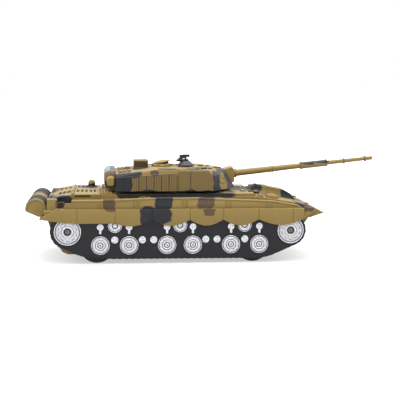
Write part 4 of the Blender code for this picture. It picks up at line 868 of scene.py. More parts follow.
def engine_deck():
    """Deck height plus two raised plates, each less two rows of long slots, and a row of pits behind."""
    hole = mm(sizes().slot_half)

    def box(x, y, x0, x1, y0, y1):
        return bump(x - (x0 + x1) / 2, (x1 - x0) / 2) * bump(y - (y0 + y1) / 2, (y1 - y0) / 2)

    def slots(x, y, middles, spans):
        depth = np.zeros_like(x)
        for middle, (near, far) in itertools.product(middles, spans):
            depth = np.maximum(depth, box(x, y, middle - hole, middle + hole, near, far))
        return depth

    def sunk(x, y):
        depth = slots(x, y, (-131.4, -127.0, -122.6, -118.2, -113.8), ((16.0, 38.0), (-27.0, -2.0)))
        depth = np.maximum(depth, slots(x, y, (-149.4, -144.9, -140.4), ((12.0, 36.0), (-30.0, -4.0))))
        for k in range(7):
            depth = np.maximum(depth, box(x, y, -160.2, -156.6, 33.0 - 12.5 * k, 41.0 - 12.5 * k))
        return depth

    def top(x, y):
        plates = 0.9 * box(x, y, -134.4, -109.6, -45.0, 45.0) + 0.9 * box(x, y, -152.6, -137.2, -45.0, 45.0)
        return deck_height(x) - 0.9 + plates - 1.5 * sunk(x, y)

    def shaded_slots(middles):
        deep = sunk(middles[:, 0], middles[:, 1]) > 0.55
        return deep & (middles[:, 2] > deck_height(middles[:, 0]) - 2.9)

    # slot and pit floors take the near-black plastic: painted shade in the holes
    finishes = [FINISH["camo"], FINISH["hollow"]]
    obj = slab("engine_deck_louvres", np.arange(-161.0, -108.2, 0.42), np.arange(-46.0, 46.1, 0.6), top,
               lambda x, y: deck_height(x) - 3.1, finishes, "hull", "camo_shell",
               dark_faces=shaded_slots, angle=40)
    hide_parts("engine_deck")
    # low grille plates between the deck and the turret ring
    for side, sign in SIDES:
        def pits(x, y):
            return slots(x, sign * y, (-105.6, -102.0, -98.4), ((14.0, 22.0), (28.0, 37.0)))

        def shaded_pits(middles):
            return (pits(middles[:, 0], middles[:, 1]) > 0.55) & (middles[:, 2] > 69.2)

        slab("roof_grille_" + side, np.arange(-107.4, -96.3, 0.42), sign * np.arange(10.0, 42.1, 0.8),
             lambda x, y: 70.5 - pits(x, y), lambda x, y: np.full_like(x, 69.0), finishes, "hull",
             "camo_shell", dark_faces=shaded_pits, angle=40)
    # ridge across the deck and its hinge barrels
    rows = [(-136.7, -134.9, -45.0, 45.0, 69.2, 70.3)]
    rows += [(-136.9, -134.7, y - 3.0, y + 3.0, 69.4, 70.6) for y in (-36.0, -12.0, 12.0, 36.0)]
    blocks("engine_deck_hinges", rows, FINISH["camo"], "hull", "camo_shell", 0.35)
    # a low flange round the ventilator's foot
    low, high = cad("ventilator_cap")
    middle = (low + high) / 2
    profile = np.array([(3.0, 0.0), (4.5, 0.0), (4.5, 0.5), (3.9, 0.8), (3.0, 0.8)]) + (0.0, low[2])
    rings = turned(profile, 40, middle[:2], "Z")
    carried("ventilator_flange", np.concatenate([rings, rings[:1]]), FINISH["camo"], "hull", "camo_shell",
            caps=False)


def fuel_drums():
    """A drum's radius along its length: a pressed rim, three rolled hoops, and flats underneath."""
    stud_angles = np.radians(np.arange(35, 150, 16.0))
    for side, sign in SIDES:
        low, high = cad("fuel_drum_" + side)
        near, far = sorted((abs(low[1]), abs(high[1])))
        centre = (low[0] + DRUM_R + DRUM_HOOP, high[2] - DRUM_R - DRUM_HOOP)
        y = np.linspace(near, far, 240)
        share = (y - near) / (far - near)
        radius = DRUM_R + DRUM_HOOP * sum(bump(share - s, 0.035) for s in (0.18, 0.5, 0.82))
        radius += 0.25 * bump(share - 0.02, 0.012) + 0.25 * bump(share - 0.98, 0.012)
        radius -= 0.5 * np.clip(1 - np.minimum(y - near, far - y) / 0.5, 0, 1) ** 2
        inner_end = [(r, near + d) for r, d in ((0.01, 0.7), (8.0, 0.7), (8.5, 0.0))]
        outer_end = [(r, far - d) for r, d in ((8.5, 0.0), (8.0, 0.7), (2.0, 0.7), (1.8, 0.2), (0.01, 0.2))]
        profile = np.concatenate([inner_end, np.stack([radius, y], -1), outer_end])
        rings = turned(profile * (1, sign), 96, centre, "Y")
        # the drum is cut by two planes where it rests on the mudguards
        floor_z = np.interp(rings[..., 0], (-190.9, -169.1, -161.0), (57.1, 47.2, 51.9))
        rings[..., 2] = np.maximum(rings[..., 2], floor_z)
        obj = carried("fuel_drum_shell_" + side, rings, FINISH["camo"], "hull", "camo_shell")
        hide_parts("fuel_drum_" + side)
        # two rows of studs over the drum's upper side
        rows = []
        for at in (near + (far - near) * 0.34, near + (far - near) * 0.66):
            rows += [(-1.2, 1.2, sign * (at - 1.6), sign * (at + 1.6), -0.5, 0.35)] * len(stud_angles)
        blocks("fuel_drum_studs_" + side, rows, FINISH["hollow"], "hull", "black_plastic", 0.3,
               bend=lambda points: round_rim(points, np.tile(stud_angles, 2), centre, DRUM_R))


def glacis_height(x):
    return np.interp(x, *zip(*GLACIS))


def drape(points):
    """Points set on the sloping front plate: raised by its height at x."""
    return lifted(points, glacis_height)


def glacis_fittings():
    """Splash ribs slanted by a share of y, lamps as domes stretched along the plate, and the tow eyes."""
    u = np.linspace(0.0, math.pi / 2, 12)
    dome = np.concatenate([np.stack([np.cos(u), np.sin(u)], -1)[::-1], [(1.0, -0.3)]])
    rounded = turned(dome, 48, (0.0, 0.0), "Z")
    rounded = np.sign(rounded) * np.abs(rounded) ** np.array([0.8, 0.8, 1.0])
    for side, sign in SIDES:
        def slant(points):
            x = points[:, 0] - 0.35 * (sign * points[:, 1] - 28.0)
            return grid(x, points[:, 1], points[:, 2] + glacis_height(x))

        ribs = [(52.0 + 4.2 * k, 53.3 + 4.2 * k, sign * 14.0, sign * 42.0, -0.3, 0.9) for k in range(4)]
        blocks("splash_ribs_" + side, ribs, FINISH["camo"], "hull", "camo_shell", 0.3, bend=slant)
        lamp = rounded * np.array([7.0, 4.8, 4.4]) + np.array([67.6, sign * 39.0, 0.0])
        lamp[..., 2] += glacis_height(lamp[..., 0])
        carried("lamp_housing_" + side, lamp, FINISH["tan"], "hull", "camo_shell")
        eyes = [(104.0, 107.5, sign * 30.0, sign * 33.0, -0.5, 1.8),
                (52.5, 57.5, sign * 38.0, sign * 44.0, -0.3, 1.9)]
        blocks("tow_eyes_" + side, eyes, FINISH["camo"], "hull", "camo_shell", 0.5, bend=drape)


def nose_plates():
    """Bent plate under the nose and cheeks beside it: outlines carried across, shrunk at their ends."""
    def across(outline, middle, y, shrink):
        """The outline drawn in XZ at each y, shrunk about its middle."""
        return grid(middle[0] + (outline[None, :, 0] - middle[0]) * shrink[:, None], y[:, None],
                    middle[1] + (outline[None, :, 1] - middle[1]) * shrink[:, None])

    plate = np.array([(97.0, 49.5), (96.4, 44.0), (98.6, 40.0), (100.2, 35.6), (101.4, 35.2), (102.2, 35.9),
                      (108.0, 44.2), (113.0, 49.0), (112.0, 49.9)])
    rings = across(plate, (102.0, 44.0), np.array([-35.6, -35.2, 35.2, 35.6]),
                   np.array([0.97, 1.0, 1.0, 0.97]))
    carried("lower_front_plate", rings, FINISH["camo"], "hull", "camo_shell")
    cheek = np.array([(97.4, 43.8), (98.6, 44.0), (105.6, 50.6), (112.6, 53.4), (108.6, 55.2), (97.4, 57.0)])
    for side, sign in SIDES:
        rings = across(cheek, (103.0, 51.0), sign * np.array([49.6, 56.6, 57.2]), np.array([1.0, 1.0, 0.94]))
        carried("nose_cheek_" + side, rings, FINISH["camo"], "hull", "camo_shell")


def bow_stowage():
    """Low boxes ahead of the turret, under its swing, and the driver's hatch, under the gun's."""
    for side, sign in SIDES:
        boxes = [(36.5, 42.5, sign * 12.0, sign * 27.0, 65.5, 69.9),
                 (44.0, 49.5, sign * 12.0, sign * 31.0, 65.0, 69.2),
                 (50.8, 57.0, sign * 13.0, sign * 22.0, 64.5, 68.9)]
        blocks("bow_stowage_" + side, boxes, FINISH["gunmetal"], "hull", "black_plastic", 0.6)
        caps = [(37.5, 41.5, sign * 14.0, sign * 25.0, 69.7, 70.3),
                (45.0, 48.4, sign * 14.0, sign * 20.0, 69.0, 69.7),
                (52.0, 56.0, sign * 14.5, sign * 20.5, 68.7, 69.4),
                (41.0, 43.6, sign * 33.0, sign * 42.0, 66.0, 69.0)]
        blocks("bow_straps_" + side, caps, FINISH["camo"], "hull", "camo_shell", 0.25)
    hatch = [(53.0, 64.0, -6.5, 6.5, 72.6, 73.6), (66.0, 67.6, -8.0, 8.0, 71.6, 73.2)]
    blocks("driver_hatch", hatch, FINISH["camo"], "hull", "camo_shell", 0.4)
    scopes = [(55.0, 57.5, y - 1.6, y + 1.6, 73.4, 74.4) for y in (-4.4, 0.0, 4.4)]
    blocks("driver_periscopes", scopes, FINISH["hollow"], "hull", "black_plastic", 0.3)


# ---- turret ------------------------------------------------------------------------------------
def turret_armour():
    """The shell, and side panels as a section carried along X whose face sinks by a bump at each groove."""
    refined("turret_shell", FINISH["camo"], "turret", 0.4, 24.0)
    pitch, depth = mm(sizes().rib_pitch), mm(sizes().rib_depth)
    r = 0.35
    for (side, sign), kind in itertools.product(SIDES, ("panel", "side")):
        low, high = cad(f"turret_{kind}_{side}")
        inner, outer = sorted((abs(low[1]), abs(high[1])))
        xs = np.arange(low[0], high[0] + 0.01, 0.19)
        xs[-1] = high[0]
        along = xs - low[0]
        edge = np.minimum(along, xs[-1] - xs)
        fine = bump((along + pitch / 2) % pitch - pitch / 2, 0.28)
        if kind == "panel":
            # every third groove is a full joint between slats
            top = np.interp(xs, (low[0], high[0]), (low[2] + 14.2, high[2]))
            deep = bump((along + 1.5 * pitch) % (3 * pitch) - 1.5 * pitch, 0.42)
            cut = np.maximum(0.6 * depth * fine, depth * deep)
            dark = np.maximum(0.45 * fine, 0.9 * deep)
        else:
            top = np.interp(xs, (low[0], high[0] - 5.6, high[0]), (high[2], high[2], low[2] + 14.8))
            deep = bump(along - 12.2, 0.45)
            cut = np.maximum(0.3 * depth * fine, depth * deep)
            dark = np.maximum(0.16 * fine, 0.6 * deep)
        cut = np.where(edge < 1.0, 0.0, cut) + 0.35 * np.clip(1 - edge / 0.4, 0, 1) ** 2
        dark = np.where(edge < 1.0, 0.0, dark)
        bottom = np.full_like(xs, low[2])
        sections = [(inner, bottom), (outer - r, bottom), (outer, bottom + r), (outer, bottom + 0.7),
                    (outer - cut, bottom + 1.0), (outer - cut, (bottom + top) / 2), (outer - cut, top - 1.0),
                    (outer, top - 0.7), (outer, top - r), (outer - r, top), (inner, top)]
        rings = np.stack([grid(xs, sign * y, z) for y, z in sections], 1)

        # the grooves' darkness, dirt with painted shade, goes to the paint as the hollow attribute
        def lines(places):
            face = np.clip((np.abs(places[:, 1]) - outer + 1.0) * 4, 0, 1)
            inside = (places[:, 2] > low[2] + 0.9) & (places[:, 2] < np.interp(places[:, 0], xs, top) - 0.9)
            return np.interp(places[:, 0], xs, dark) * face * inside

        # the side panels take the darker copy of the camouflage, a painted shade
        obj = carried(f"turret_{kind}_ribbed_{side}", rings, FINISH["turret"], "turret", "camo_shell",
                      hollow=lines, angle=40)
        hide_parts(f"turret_{kind}_{side}")


def rear_bin():
    """The bin's section is an upright half ellipse behind with ribs across it, carried along Y."""
    low, high = cad("turret_rear_bin")
    a = np.linspace(-math.pi / 2, math.pi / 2, 40)
    middle, half = (low[2] + high[2]) / 2, (high[2] - low[2]) / 2
    curve = np.stack([high[0] - 11.5 + (1 - np.cos(a)) * half * 0.45, middle + half * np.sin(a)], -1)
    x, z = np.concatenate([[(high[0], low[2])], curve, [(high[0], high[2])]]).T
    y = np.linspace(low[1], high[1], 90)[:, None]
    squeeze = 1 - 0.06 * np.clip(1 - np.minimum(y - y[0], y[-1] - y) / 1.2, 0, 1) ** 2
    ribs = 0.35 * sum(bump(y - r, 0.6) for r in np.linspace(-24, 24, 9)) * (x < high[0] - 1.0)
    rings = grid(high[0] + (x - high[0]) * squeeze + ribs, y, middle + (z - middle) * squeeze)
    obj = carried("rear_bin_body", rings, FINISH["camo"], "turret", "camo_shell")
    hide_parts("turret_rear_bin")
    # grey lid: a quarter ellipse over the bin's upper rear edge, turned back under itself
    turn = np.linspace(0.15, math.pi / 2, 16)
    outer = np.stack([high[0] - 5.0 - 6.6 * np.cos(turn), high[2] - 3.6 + 5.6 * np.sin(turn)], -1)
    inner = np.stack([high[0] - 5.0 - 4.6 * np.cos(turn), high[2] - 4.4 + 2.6 * np.sin(turn)], -1)[::-1]
    lid = np.concatenate([outer, [(high[0], high[2] + 2.0)], [(high[0], high[2] - 1.8)], inner])
    y = np.array([low[1] + 0.2, low[1] + 0.6, high[1] - 0.6, high[1] - 0.2])[:, None]
    carried("rear_bin_lid", grid(lid[:, 0], y, lid[:, 1]), FINISH["lid"], "turret", "camo_shell")
    straps = [(high[0] - 5.2, high[0] - 0.3, at - 1.0, at + 1.0, high[2] + 1.6, high[2] + 2.5)
              for at in (-22, -8, 8, 22)]
    blocks("rear_bin_straps", straps, FINISH["gunmetal"], "turret", "black_plastic", 0.3)
    # stowage rolls beside the bin: a rounded-square section swelling from its ends, pinched by a strap
    t = np.linspace(0, 1, 28)[:, None]
    swell = 0.72 + 0.28 * np.clip(np.sin(np.pi * t), 0, 1) ** 0.4
    pinch = 0.35 * bump(t - 0.5, 0.05)
    angle = np.linspace(0, 2 * math.pi, 40, endpoint=False)
    c, d = np.cos(angle), np.sin(angle)
    for side, sign in SIDES:
        x = high[0] - 4.6 + 4.2 * swell * np.sign(c) * np.abs(c) ** 0.6 - pinch * c
        z = low[2] + 6.4 + 5.2 * swell * np.sign(d) * np.abs(d) ** 0.6 + pinch * d
        rings = grid(x, sign * (30.4 + 10.8 * t), z)
        carried("stowage_roll_" + side, rings, FINISH["camo"], "turret", "camo_shell")


def sight_box():
    """A squared section less a bump at each of four grooves; its top sags in the middle, as a parabola."""
    groove_at = (0.28, 0.46, 0.64, 0.82)
    low, high = cad("gunner_sight")
    centre, half = (low + high) / 2, (high - low) / 2
    t = np.linspace(0, 1, 72)[:, None]
    groove = 0.55 * sum(bump(t - g, 0.035) for g in groove_at)
    lip = 0.5 * np.clip((t - 0.94) / 0.06, 0, 1) ** 2
    corner = np.linspace(0, 2 * math.pi, 64, endpoint=False)
    c, d = np.cos(corner), np.sin(corner)
    x = centre[0] + np.sign(c) * np.abs(c) ** 0.22 * (half[0] - groove - lip)
    y = centre[1] + np.sign(d) * np.abs(d) ** 0.22 * (half[1] - groove - lip)
    sag = 1.1 * (1 - ((x - centre[0]) / half[0]) ** 2) * t ** 3
    rise = np.interp(x, (low[0], high[0]), (0.0, 1.7)) * (1 - t) ** 2
    z = low[2] + (high[2] - low[2]) * t - sag + rise

    # the grooves' darkness, dirt with painted shade, goes to the paint as the hollow attribute
    def grooves(places):
        at = (places[:, 2] - low[2]) / (high[2] - low[2])
        return 0.75 * sum(bump(at - g, 0.045) for g in groove_at)

    obj = carried("sight_housing", grid(x, y, z), FINISH["brown"], "turret", "camo_shell",
                  hollow=grooves, angle=40)
    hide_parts("gunner_sight")
    lips = [(low[0] + 0.4, high[0] - 0.4, near, near + 0.9, high[2] - 1.3, high[2] - 0.05)
            for near in (low[1] + 0.1, high[1] - 1.0)]
    blocks("sight_lips", lips, FINISH["camo"], "turret", "camo_shell", 0.3)
    # dark oval cable cover at its foot: a flat dome of cosine and sine
    u = np.linspace(0.0, math.pi / 2, 10)
    dome = np.concatenate([np.stack([np.cos(u), np.sin(u)], -1)[::-1], [(1.0, -0.6)]])
    cover = turned(dome, 40, (0.0, 0.0), "Z") * np.array([7.2, 3.4, 1.6])
    carried("sight_cable_cover", cover + np.array([centre[0] - 1.2, low[1] - 4.0, 91.2]), FINISH["hollow"],
            "turret", "black_plastic")


def commander_cupola():
    """A stepped ring, a near-black disc of painted shade in the opening, and a shallow lid, turned about Z;
    the lid is tipped up to the front.
    """
    low, high = cad("commander_cupola")
    centre = (low + high) / 2 - np.array([2.0, 0.0, 0.0])
    ring = np.array([(0.01, -0.7), (10.4, -0.7), (10.4, 0.9), (9.9, 1.3),
                     (9.3, 2.3), (8.8, 2.6), (0.01, 2.6)])
    obj = carried("commander_ring", turned(ring + (0.0, low[2]), 64, centre[:2], "Z"), FINISH["camo"],
                  "turret", "camo_shell")
    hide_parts("commander_cupola")
    tip = math.radians(10.0)

    def tipped(profile, segments):
        x, y, z = np.moveaxis(turned(np.array(profile), segments, (0.0, 0.0), "Z"), -1, 0)
        return grid(centre[0] + x * math.cos(tip) - z * math.sin(tip), centre[1] + y,
                    high[2] - 1.4 + x * math.sin(tip) + z * math.cos(tip))

    # a near-black disc under the tipped lid: painted shade in the opening
    opening = [(0.01, -2.2), (7.6, -2.2), (7.6, 0.1), (0.01, 0.1)]
    carried("commander_opening_shade", tipped(opening, 48), FINISH["hollow"], "turret", "black_plastic")
    lid = [(0.01, 1.7), (3.5, 1.6), (6.0, 1.25), (7.9, 0.75),
           (8.9, 0.3), (9.1, 0.0), (8.9, -0.4), (0.01, -0.4)]
    carried("commander_lid", tipped(lid, 64), FINISH["camo"], "turret", "camo_shell")
    # eight periscopes, a block each, set round the ring
    turn = np.repeat(np.radians(np.arange(0, 360, 45) + 22.5), BLOCK_POINTS)

    def around(points):
        radial = 9.4 + points[:, 1]
        return grid(centre[0] + radial * np.cos(turn) - points[:, 0] * np.sin(turn),
                    centre[1] + radial * np.sin(turn) + points[:, 0] * np.cos(turn),
                    low[2] + 0.6 + points[:, 2])

    blocks("commander_periscopes", np.tile((-1.5, 1.5, -0.9, 0.9, 0.0, 1.6), (8, 1)),
           [FINISH["camo"], FINISH["hollow"]], "turret", "camo_shell", 0.35, bend=around)


def roof_fittings():
    """Flat plates, lids and near-black vision slots of painted shade, as chamfered blocks; those at the rear
    follow the falling roof.
    """
    foot = ROOF - 0.3
    plates = [(-50.0, -26.0, -36.0, -24.0, foot, ROOF + 0.5), (-24.0, -8.0, -36.0, -26.0, foot, ROOF + 0.45),
              (-50.0, -30.0, 24.0, 36.0, foot, ROOF + 0.5), (-26.0, -6.0, 26.0, 36.0, foot, ROOF + 0.45),
              (-4.0, 2.0, -22.0, -14.0, foot, ROOF + 0.7), (-4.0, 2.0, 14.0, 22.0, foot, ROOF + 0.7)]
    blocks("roof_plates", plates, FINISH["camo"], "turret", "camo_shell", 0.25)
    # near-black blocks for the slots: painted shade in them
    slots = [(-10.5, -5.5, -20.5, -17.5, ROOF - 0.2, ROOF + 0.35),
             (-1.5, 1.0, -20.0, -16.0, ROOF + 0.5, ROOF + 0.85),
             (4.0, 8.0, -16.0, -14.0, ROOF - 0.8, ROOF - 0.05),
             (4.0, 8.0, 14.0, 16.0, ROOF - 0.8, ROOF - 0.05)]
    blocks("roof_slots", slots, FINISH["hollow"], "turret", "black_plastic", 0.2)

    def fall(points):
        return lifted(points, lambda x: np.interp(x, (-93.0, -52.0), (88.5, ROOF)))

    # near-black blocks for the rear slots: painted shade in them
    slots = [(x, x + 2.2, y, y + 5.0, -0.3, 0.35)
             for x in (-88.6, -84.2, -79.4) for y in (-31.0, -22.0, 4.0, 22.0)]
    blocks("rear_roof_slots", slots, FINISH["hollow"], "turret", "black_plastic", 0.2, bend=fall)
    rails = [(-91.0, -77.0, -20.0, -18.6, -0.3, 1.0), (-91.0, -77.0, 18.6, 20.0, -0.3, 1.0)]
    rails += [(x, x + 1.2, y, y + 3.0, -0.3, 1.4)
              for x in (-90.0, -86.0, -81.0) for y in (-34.0, -10.0, 8.0, 30.0)]
    blocks("rear_roof_rails", rails, FINISH["camo"], "turret", "camo_shell", 0.25, bend=fall)


def machine_gun():
    """Receiver with its feed cover's ribs, inside the gun's height, on a platform that falls with x."""
    for node in ("mg_cradle", "machine_gun"):
        coat(node, "gunmetal")
    _, high = cad("machine_gun")
    receiver = [(-24.6, -17.0, 6.2, 9.9, 101.2, 104.9), (-20.5, -17.6, 9.9, 13.5, 101.6, 103.4)]
    receiver += [(-24.9 + 1.5 * k, -24.2 + 1.5 * k, 6.0, 10.1, 104.3, high[2] - 0.1) for k in range(5)]
    blocks("machine_gun_receiver", receiver, FINISH["gunmetal"], "machine_gun", "black_plastic", 0.4)
    platform = [(-28.2, -15.6, 5.2, 10.6, 97.3, 99.0), (-26.6, -21.0, 4.2, 11.6, 98.6, 100.2)]
    blocks("machine_gun_platform", platform, FINISH["gunmetal"], "machine_gun", "black_plastic", 0.4,
           bend=lambda points: lifted(points, lambda x: -0.16 * (x + 22.0)))


# ---- gun ---------------------------------------------------------------------------------------
def gun_turn(points):
    """Points drawn along +X from the trunnion, raised by the gun's elevation."""
    a = math.radians(GUN_ELEVATION)
    x, z = points[..., 0], points[..., 2]
    return grid(TRUNNION[0] + x * math.cos(a) - z * math.sin(a), points[..., 1],
                TRUNNION[1] + x * math.sin(a) + z * math.cos(a))


def gun():
    """Barrel radius along its length, from collar to muzzle; the mantlet's folds are rounded bars."""
    def band(at, tube, height, width):
        """A raised band round the tube, with its front and back a little sloped."""
        return [(tube, at - width / 2), (height, at - width / 2 + 0.2), (height, at + width / 2 - 0.2)]

    collar = [(r, BARREL_ROOT + d) for r, d in ((0.01, 0.0), (4.4, 0.0), (4.6, 0.3), (4.6, 2.6), (4.3, 3.0),
                                                (3.7, 4.0), (3.5, 4.4))]
    sleeve = [(3.15, BARREL_TIP - 111.1)] + band(BARREL_TIP - 109.6, 3.15, 3.55, 1.5)
    sleeve += [(3.0, BARREL_TIP - 108.85)]
    extractor = [(r, BARREL_TIP - d)
                 for r, d in ((2.7, 79.6), (3.9, 79.3), (3.95, 77.8), (3.5, 77.5), (3.5, 51.7),
                                                  (3.95, 51.4), (3.9, 50.2), (2.3, 49.9))]
    muzzle = band(BARREL_TIP - 31.2, 2.1, 3.1, 1.5) + [(2.1, BARREL_TIP - 30.45)]
    muzzle += band(BARREL_TIP - 7.8, 1.95, 3.2, 1.8) + [(1.95, BARREL_TIP - 6.9)]
    bore = [(r, BARREL_TIP - d) for r, d in ((2.05, 0.3), (1.8, 0.0), (1.1, 0.0), (1.0, 0.4), (1.0, 12.0),
                                             (0.01, 12.0))]
    rings = gun_turn(turned(collar + sleeve + extractor + muzzle + bore, 56, (0.0, 0.0), "X"))
    obj = carried("gun_barrel_tube", rings, FINISH["barrel"], "gun", "camo_shell", angle=28)
    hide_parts("gun_barrel")
    section = np.linspace(0, 2 * math.pi, 12, endpoint=False)
    reach, lift = MANTLET_R + 0.45 * np.cos(section), 0.9 * np.sin(section)
    y = np.linspace(-9.4, 9.4, 12)[:, None]
    folds = []
    for a in np.radians((-13.0, -5.0, 3.0, 11.0)):
        fold = grid(reach * math.cos(a) - lift * math.sin(a), y, reach * math.sin(a) + lift * math.cos(a))
        folds.append(gun_turn(fold))
    points, faces = joined(folds)
    mesh_object("mantlet_folds", points, faces, FINISH["camo"], "gun", "camo_shell")


# ---- underside and tail ---------------------------------------------------------------------------------
def underside():
    """Chamfered blocks: grip ridges on the battery door, brackets, dark blocks as painted shadow gaps, and
    tail plate fittings.
    """
    low, _ = cad("battery_door")
    ridges = [(low[0] + 3.0 + 2.2 * k, low[0] + 4.2 + 2.2 * k, -9.0, 9.0, low[2] - 0.02, low[2] + 0.35)
              for k in range(5)]
    blocks("battery_door_grip", ridges, FINISH["hollow"], "hull", "black_plastic", 0.15)
    for side, sign in SIDES:
        guard = [(-164.0, -155.0, sign * 51.9, sign * 58.1, 49.2, 54.6)]
        blocks("mudguard_bracket_" + side, guard, FINISH["camo"], "hull", "camo_shell", 0.8)
        # dark blocks where the deck plates' sides are in shadow: a painted shadow
        gaps = [(-134.0, -118.0, sign * 45.3, sign * 46.3, 66.9, 68.2),
                (-151.5, -139.0, sign * 45.3, sign * 46.3, 64.8, 66.0)]
        blocks("deck_side_painted_shadow_gaps_" + side, gaps, FINISH["hollow"], "hull", "black_plastic", 0.2)
    tail = [(-162.2, -160.6, y - 3.0, y + 3.0, 44.0, 49.0) for y in (-30.0, 30.0)]
    tail += [(-163.0, -160.6, -4.0, 4.0, 40.0, 44.0)]
    blocks("tail_plate_fittings", tail, FINISH["camo"], "hull", "camo_shell", 0.5)


# ---- stage -------------------------------------------------------------------------------------
def studio():
    """Pale light table, soft overhead light, and the camera at a low near-side angle."""
    scene = bpy.context.scene
    world = bpy.data.worlds.new("studio")
    scene.world = world
    world.use_nodes = True
    tree = world.node_tree
    # white at the horizon, brighter overhead as a power of the height
    direction = add_node(tree, "ShaderNodeTexCoord").outputs["Generated"]
    height = add_node(tree, "ShaderNodeSeparateXYZ", {0: direction}).outputs["Z"]
    overhead = add_node(tree, "ShaderNodeMath",
                        {0: height, 1: 2.5}, operation="POWER", use_clamp=True).outputs[0]
    strength = add_node(tree, "ShaderNodeMath",
                        {0: overhead, 1: 4.2, 2: 1.0}, operation="MULTIPLY_ADD").outputs[0]
    tree.links.new(strength, tree.nodes["Background"].inputs["Strength"])
    tree.nodes["Background"].inputs["Color"].default_value = (1.0, 1.0, 1.0, 1.0)
    mesh = bpy.data.meshes.new("studio_floor")
    reach = 60.0
    corners = [(-reach, -reach, 0), (reach, -reach, 0), (reach, reach, 0), (-reach, reach, 0)]
    mesh.from_pydata(corners, [], [(0, 1, 2, 3)])
    material, _, shader, _ = new_material("studio_paper", Roughness=0.9)
    shader.inputs["Base Color"].default_value = colours().floor
    # a light table: white acrylic lit from below keeps the contact shadow faint
    shader.inputs["Emission Color"].default_value = (1.0, 1.0, 1.0, 1.0)
    shader.inputs["Emission Strength"].default_value = 0.5
    mesh.materials.append(material)
    floor = bpy.data.objects.new("studio_floor", mesh)
    scene.collection.objects.link(floor)
    # a wide soft key from almost straight overhead
    key = bpy.data.lights.new("overhead_key", "SUN")
    key.energy = 0.5
    key.angle = math.radians(38)
    lamp = bpy.data.objects.new("overhead_key", key)
    lamp.rotation_euler = (math.radians(-10), math.radians(6), 0.0)
    scene.collection.objects.link(lamp)
    camera_data = bpy.data.cameras.new("camera")
    camera_data.sensor_width = 36.0
    camera_data.lens = 81.0
    camera_data.clip_start = 0.05
    camera_data.clip_end = 200.0
    camera = bpy.data.objects.new("camera", camera_data)
    turn, fall, roll = math.radians(6.0), math.radians(6.9), math.radians(0.4)
    view = Vector((math.sin(turn) * math.cos(fall), math.cos(turn) * math.cos(fall), -math.sin(fall)))
    target = Vector((-3.05, 0.0, 57.2)) * MM
    camera.location = target - view * 0.96
    right = view.cross(Vector((0, 0, 1))).normalized()
    up = right.cross(view)
    across = right * math.cos(roll) + up * math.sin(roll)
    above = up * math.cos(roll) - right * math.sin(roll)
    matrix = camera.matrix_world.copy()
    for row in range(3):
        matrix[row][0], matrix[row][1], matrix[row][2] = across[row], above[row], -view[row]
        matrix[row][3] = camera.location[row]
    camera.matrix_world = matrix
    scene.collection.objects.link(camera)
    scene.camera = camera
    scene.view_settings.view_transform = "Standard"


# ---- operators ---------------------------------------------------------------------------------
class ToyTankFinishes(bpy.types.Operator):
    """Make the paints, plastics, foil, rubber and metals"""
    bl_idname = "toytank.finishes"
    bl_label = "Finishes"

    def execute(self, context):
        make_finishes()
        return {"FINISHED"}


class ToyTankHull(bpy.types.Operator):
    """Finish the hull shells and add the side strips and rails"""
    bl_idname = "toytank.hull"
    bl_label = "Hull"

    def execute(self, context):
        hull_shells()
        return {"FINISHED"}


class ToyTankSkirts(bpy.types.Operator):
    """Make the side skirts with their panel seams"""
    bl_idname = "toytank.skirts"
    bl_label = "Side skirts"

    def execute(self, context):
        skirts()
        return {"FINISHED"}


class ToyTankWheelFaces(bpy.types.Operator):
    """Make the foil-stamped wheel faces, arms and bolts"""
    bl_idname = "toytank.wheel_faces"
    bl_label = "Wheel faces"

    def execute(self, context):
        wheel_faces()
        return {"FINISHED"}


class ToyTankTracks(bpy.types.Operator):
    """Finish the moulded tracks and add their pads"""
    bl_idname = "toytank.tracks"
    bl_label = "Tracks"

    def execute(self, context):
        track_fairings()
        return {"FINISHED"}


class ToyTankRunningGear(bpy.types.Operator):
    """Finish the wheels, tyres, drive, screws and inner parts"""
    bl_idname = "toytank.running_gear"
    bl_label = "Running gear"

    def execute(self, context):
        running_gear()
        return {"FINISHED"}


class ToyTankDeck(bpy.types.Operator):
    """Make the engine deck's plates and slots, the roof grilles and the ventilator flange"""
    bl_idname = "toytank.deck"
    bl_label = "Engine deck"

    def execute(self, context):
        engine_deck()
        return {"FINISHED"}


class ToyTankDrums(bpy.types.Operator):
    """Make the two fuel drums"""
    bl_idname = "toytank.drums"
    bl_label = "Fuel drums"

    def execute(self, context):
        fuel_drums()
        return {"FINISHED"}


class ToyTankGlacis(bpy.types.Operator):
    """Make the ribs, lamps and eyes on the front plate"""
    bl_idname = "toytank.glacis"
    bl_label = "Front plate fittings"

    def execute(self, context):
        glacis_fittings()
        return {"FINISHED"}


class ToyTankNose(bpy.types.Operator):
    """Make the plates under and beside the nose"""
    bl_idname = "toytank.nose"
    bl_label = "Nose plates"

    def execute(self, context):
        nose_plates()
        return {"FINISHED"}


class ToyTankStowage(bpy.types.Operator):
    """Make the bow stowage and the driver's hatch"""
    bl_idname = "toytank.stowage"
    bl_label = "Bow stowage"

    def execute(self, context):
        bow_stowage()
        return {"FINISHED"}


class ToyTankTurret(bpy.types.Operator):
    """Finish the turret shell and make its ribbed side panels"""
    bl_idname = "toytank.turret"
    bl_label = "Turret"

    def execute(self, context):
        turret_armour()
        return {"FINISHED"}


class ToyTankRearBin(bpy.types.Operator):
    """Make the bin and rolls behind the turret"""
    bl_idname = "toytank.rear_bin"
    bl_label = "Rear bin"

    def execute(self, context):
        rear_bin()
        return {"FINISHED"}


class ToyTankSight(bpy.types.Operator):
    """Make the gunner's sight box"""
    bl_idname = "toytank.sight"
    bl_label = "Sight box"

    def execute(self, context):
        sight_box()
        return {"FINISHED"}


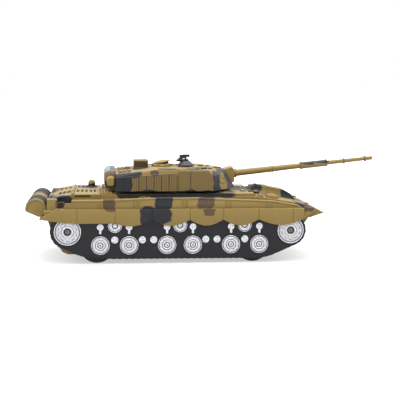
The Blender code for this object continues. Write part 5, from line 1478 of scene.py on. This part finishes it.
class ToyTankCupola(bpy.types.Operator):
    """Make the commander's ring, lid and periscopes"""
    bl_idname = "toytank.cupola"
    bl_label = "Commander's cupola"

    def execute(self, context):
        commander_cupola()
        return {"FINISHED"}


class ToyTankRoof(bpy.types.Operator):
    """Make the plates, slots and rails on the roof"""
    bl_idname = "toytank.roof"
    bl_label = "Roof fittings"

    def execute(self, context):
        roof_fittings()
        return {"FINISHED"}


class ToyTankMachineGun(bpy.types.Operator):
    """Finish the roof machine gun"""
    bl_idname = "toytank.machine_gun"
    bl_label = "Machine gun"

    def execute(self, context):
        machine_gun()
        return {"FINISHED"}


class ToyTankGun(bpy.types.Operator):
    """Make the barrel and the mantlet's folds"""
    bl_idname = "toytank.gun"
    bl_label = "Gun"

    def execute(self, context):
        gun()
        return {"FINISHED"}


class ToyTankUnderside(bpy.types.Operator):
    """Make the battery door's grip, the brackets and the tail fittings"""
    bl_idname = "toytank.underside"
    bl_label = "Underside and tail"

    def execute(self, context):
        underside()
        return {"FINISHED"}


class ToyTankStudio(bpy.types.Operator):
    """Make the floor, the lights and the camera"""
    bl_idname = "toytank.studio"
    bl_label = "Studio"

    def execute(self, context):
        studio()
        return {"FINISHED"}


OPERATORS = (ToyTankFinishes, ToyTankHull, ToyTankSkirts, ToyTankWheelFaces, ToyTankTracks,
             ToyTankRunningGear, ToyTankDeck, ToyTankDrums, ToyTankGlacis, ToyTankNose, ToyTankStowage,
             ToyTankTurret, ToyTankRearBin, ToyTankSight, ToyTankCupola, ToyTankRoof, ToyTankMachineGun,
             ToyTankGun, ToyTankUnderside, ToyTankStudio)


class ToyTankPanel(bpy.types.Panel):
    """Buttons, sizes and colours of the toy tank"""
    bl_idname = "TOYTANK_PT_panel"
    bl_label = "Toy Tank"
    bl_space_type = "VIEW_3D"
    bl_region_type = "UI"
    bl_category = "Toy Tank"

    def draw(self, context):
        for operator in OPERATORS:
            self.layout.operator(operator.bl_idname)
        for group in (context.scene.toy_tank_sizes, context.scene.toy_tank_colours):
            for name in group.__annotations__:
                self.layout.prop(group, name)


CLASSES = (ToyTankSizes, ToyTankColours) + OPERATORS + (ToyTankPanel,)


def register():
    for entry in CLASSES:
        bpy.utils.register_class(entry)
    bpy.types.Scene.toy_tank_sizes = bpy.props.PointerProperty(type=ToyTankSizes)
    bpy.types.Scene.toy_tank_colours = bpy.props.PointerProperty(type=ToyTankColours)


def unregister():
    del bpy.types.Scene.toy_tank_colours
    del bpy.types.Scene.toy_tank_sizes
    for entry in reversed(CLASSES):
        bpy.utils.unregister_class(entry)


def main():
    register()
    for operator in OPERATORS:
        group, name = operator.bl_idname.split(".")
        getattr(getattr(bpy.ops, group), name)()


if __name__ == "__main__":
    main()
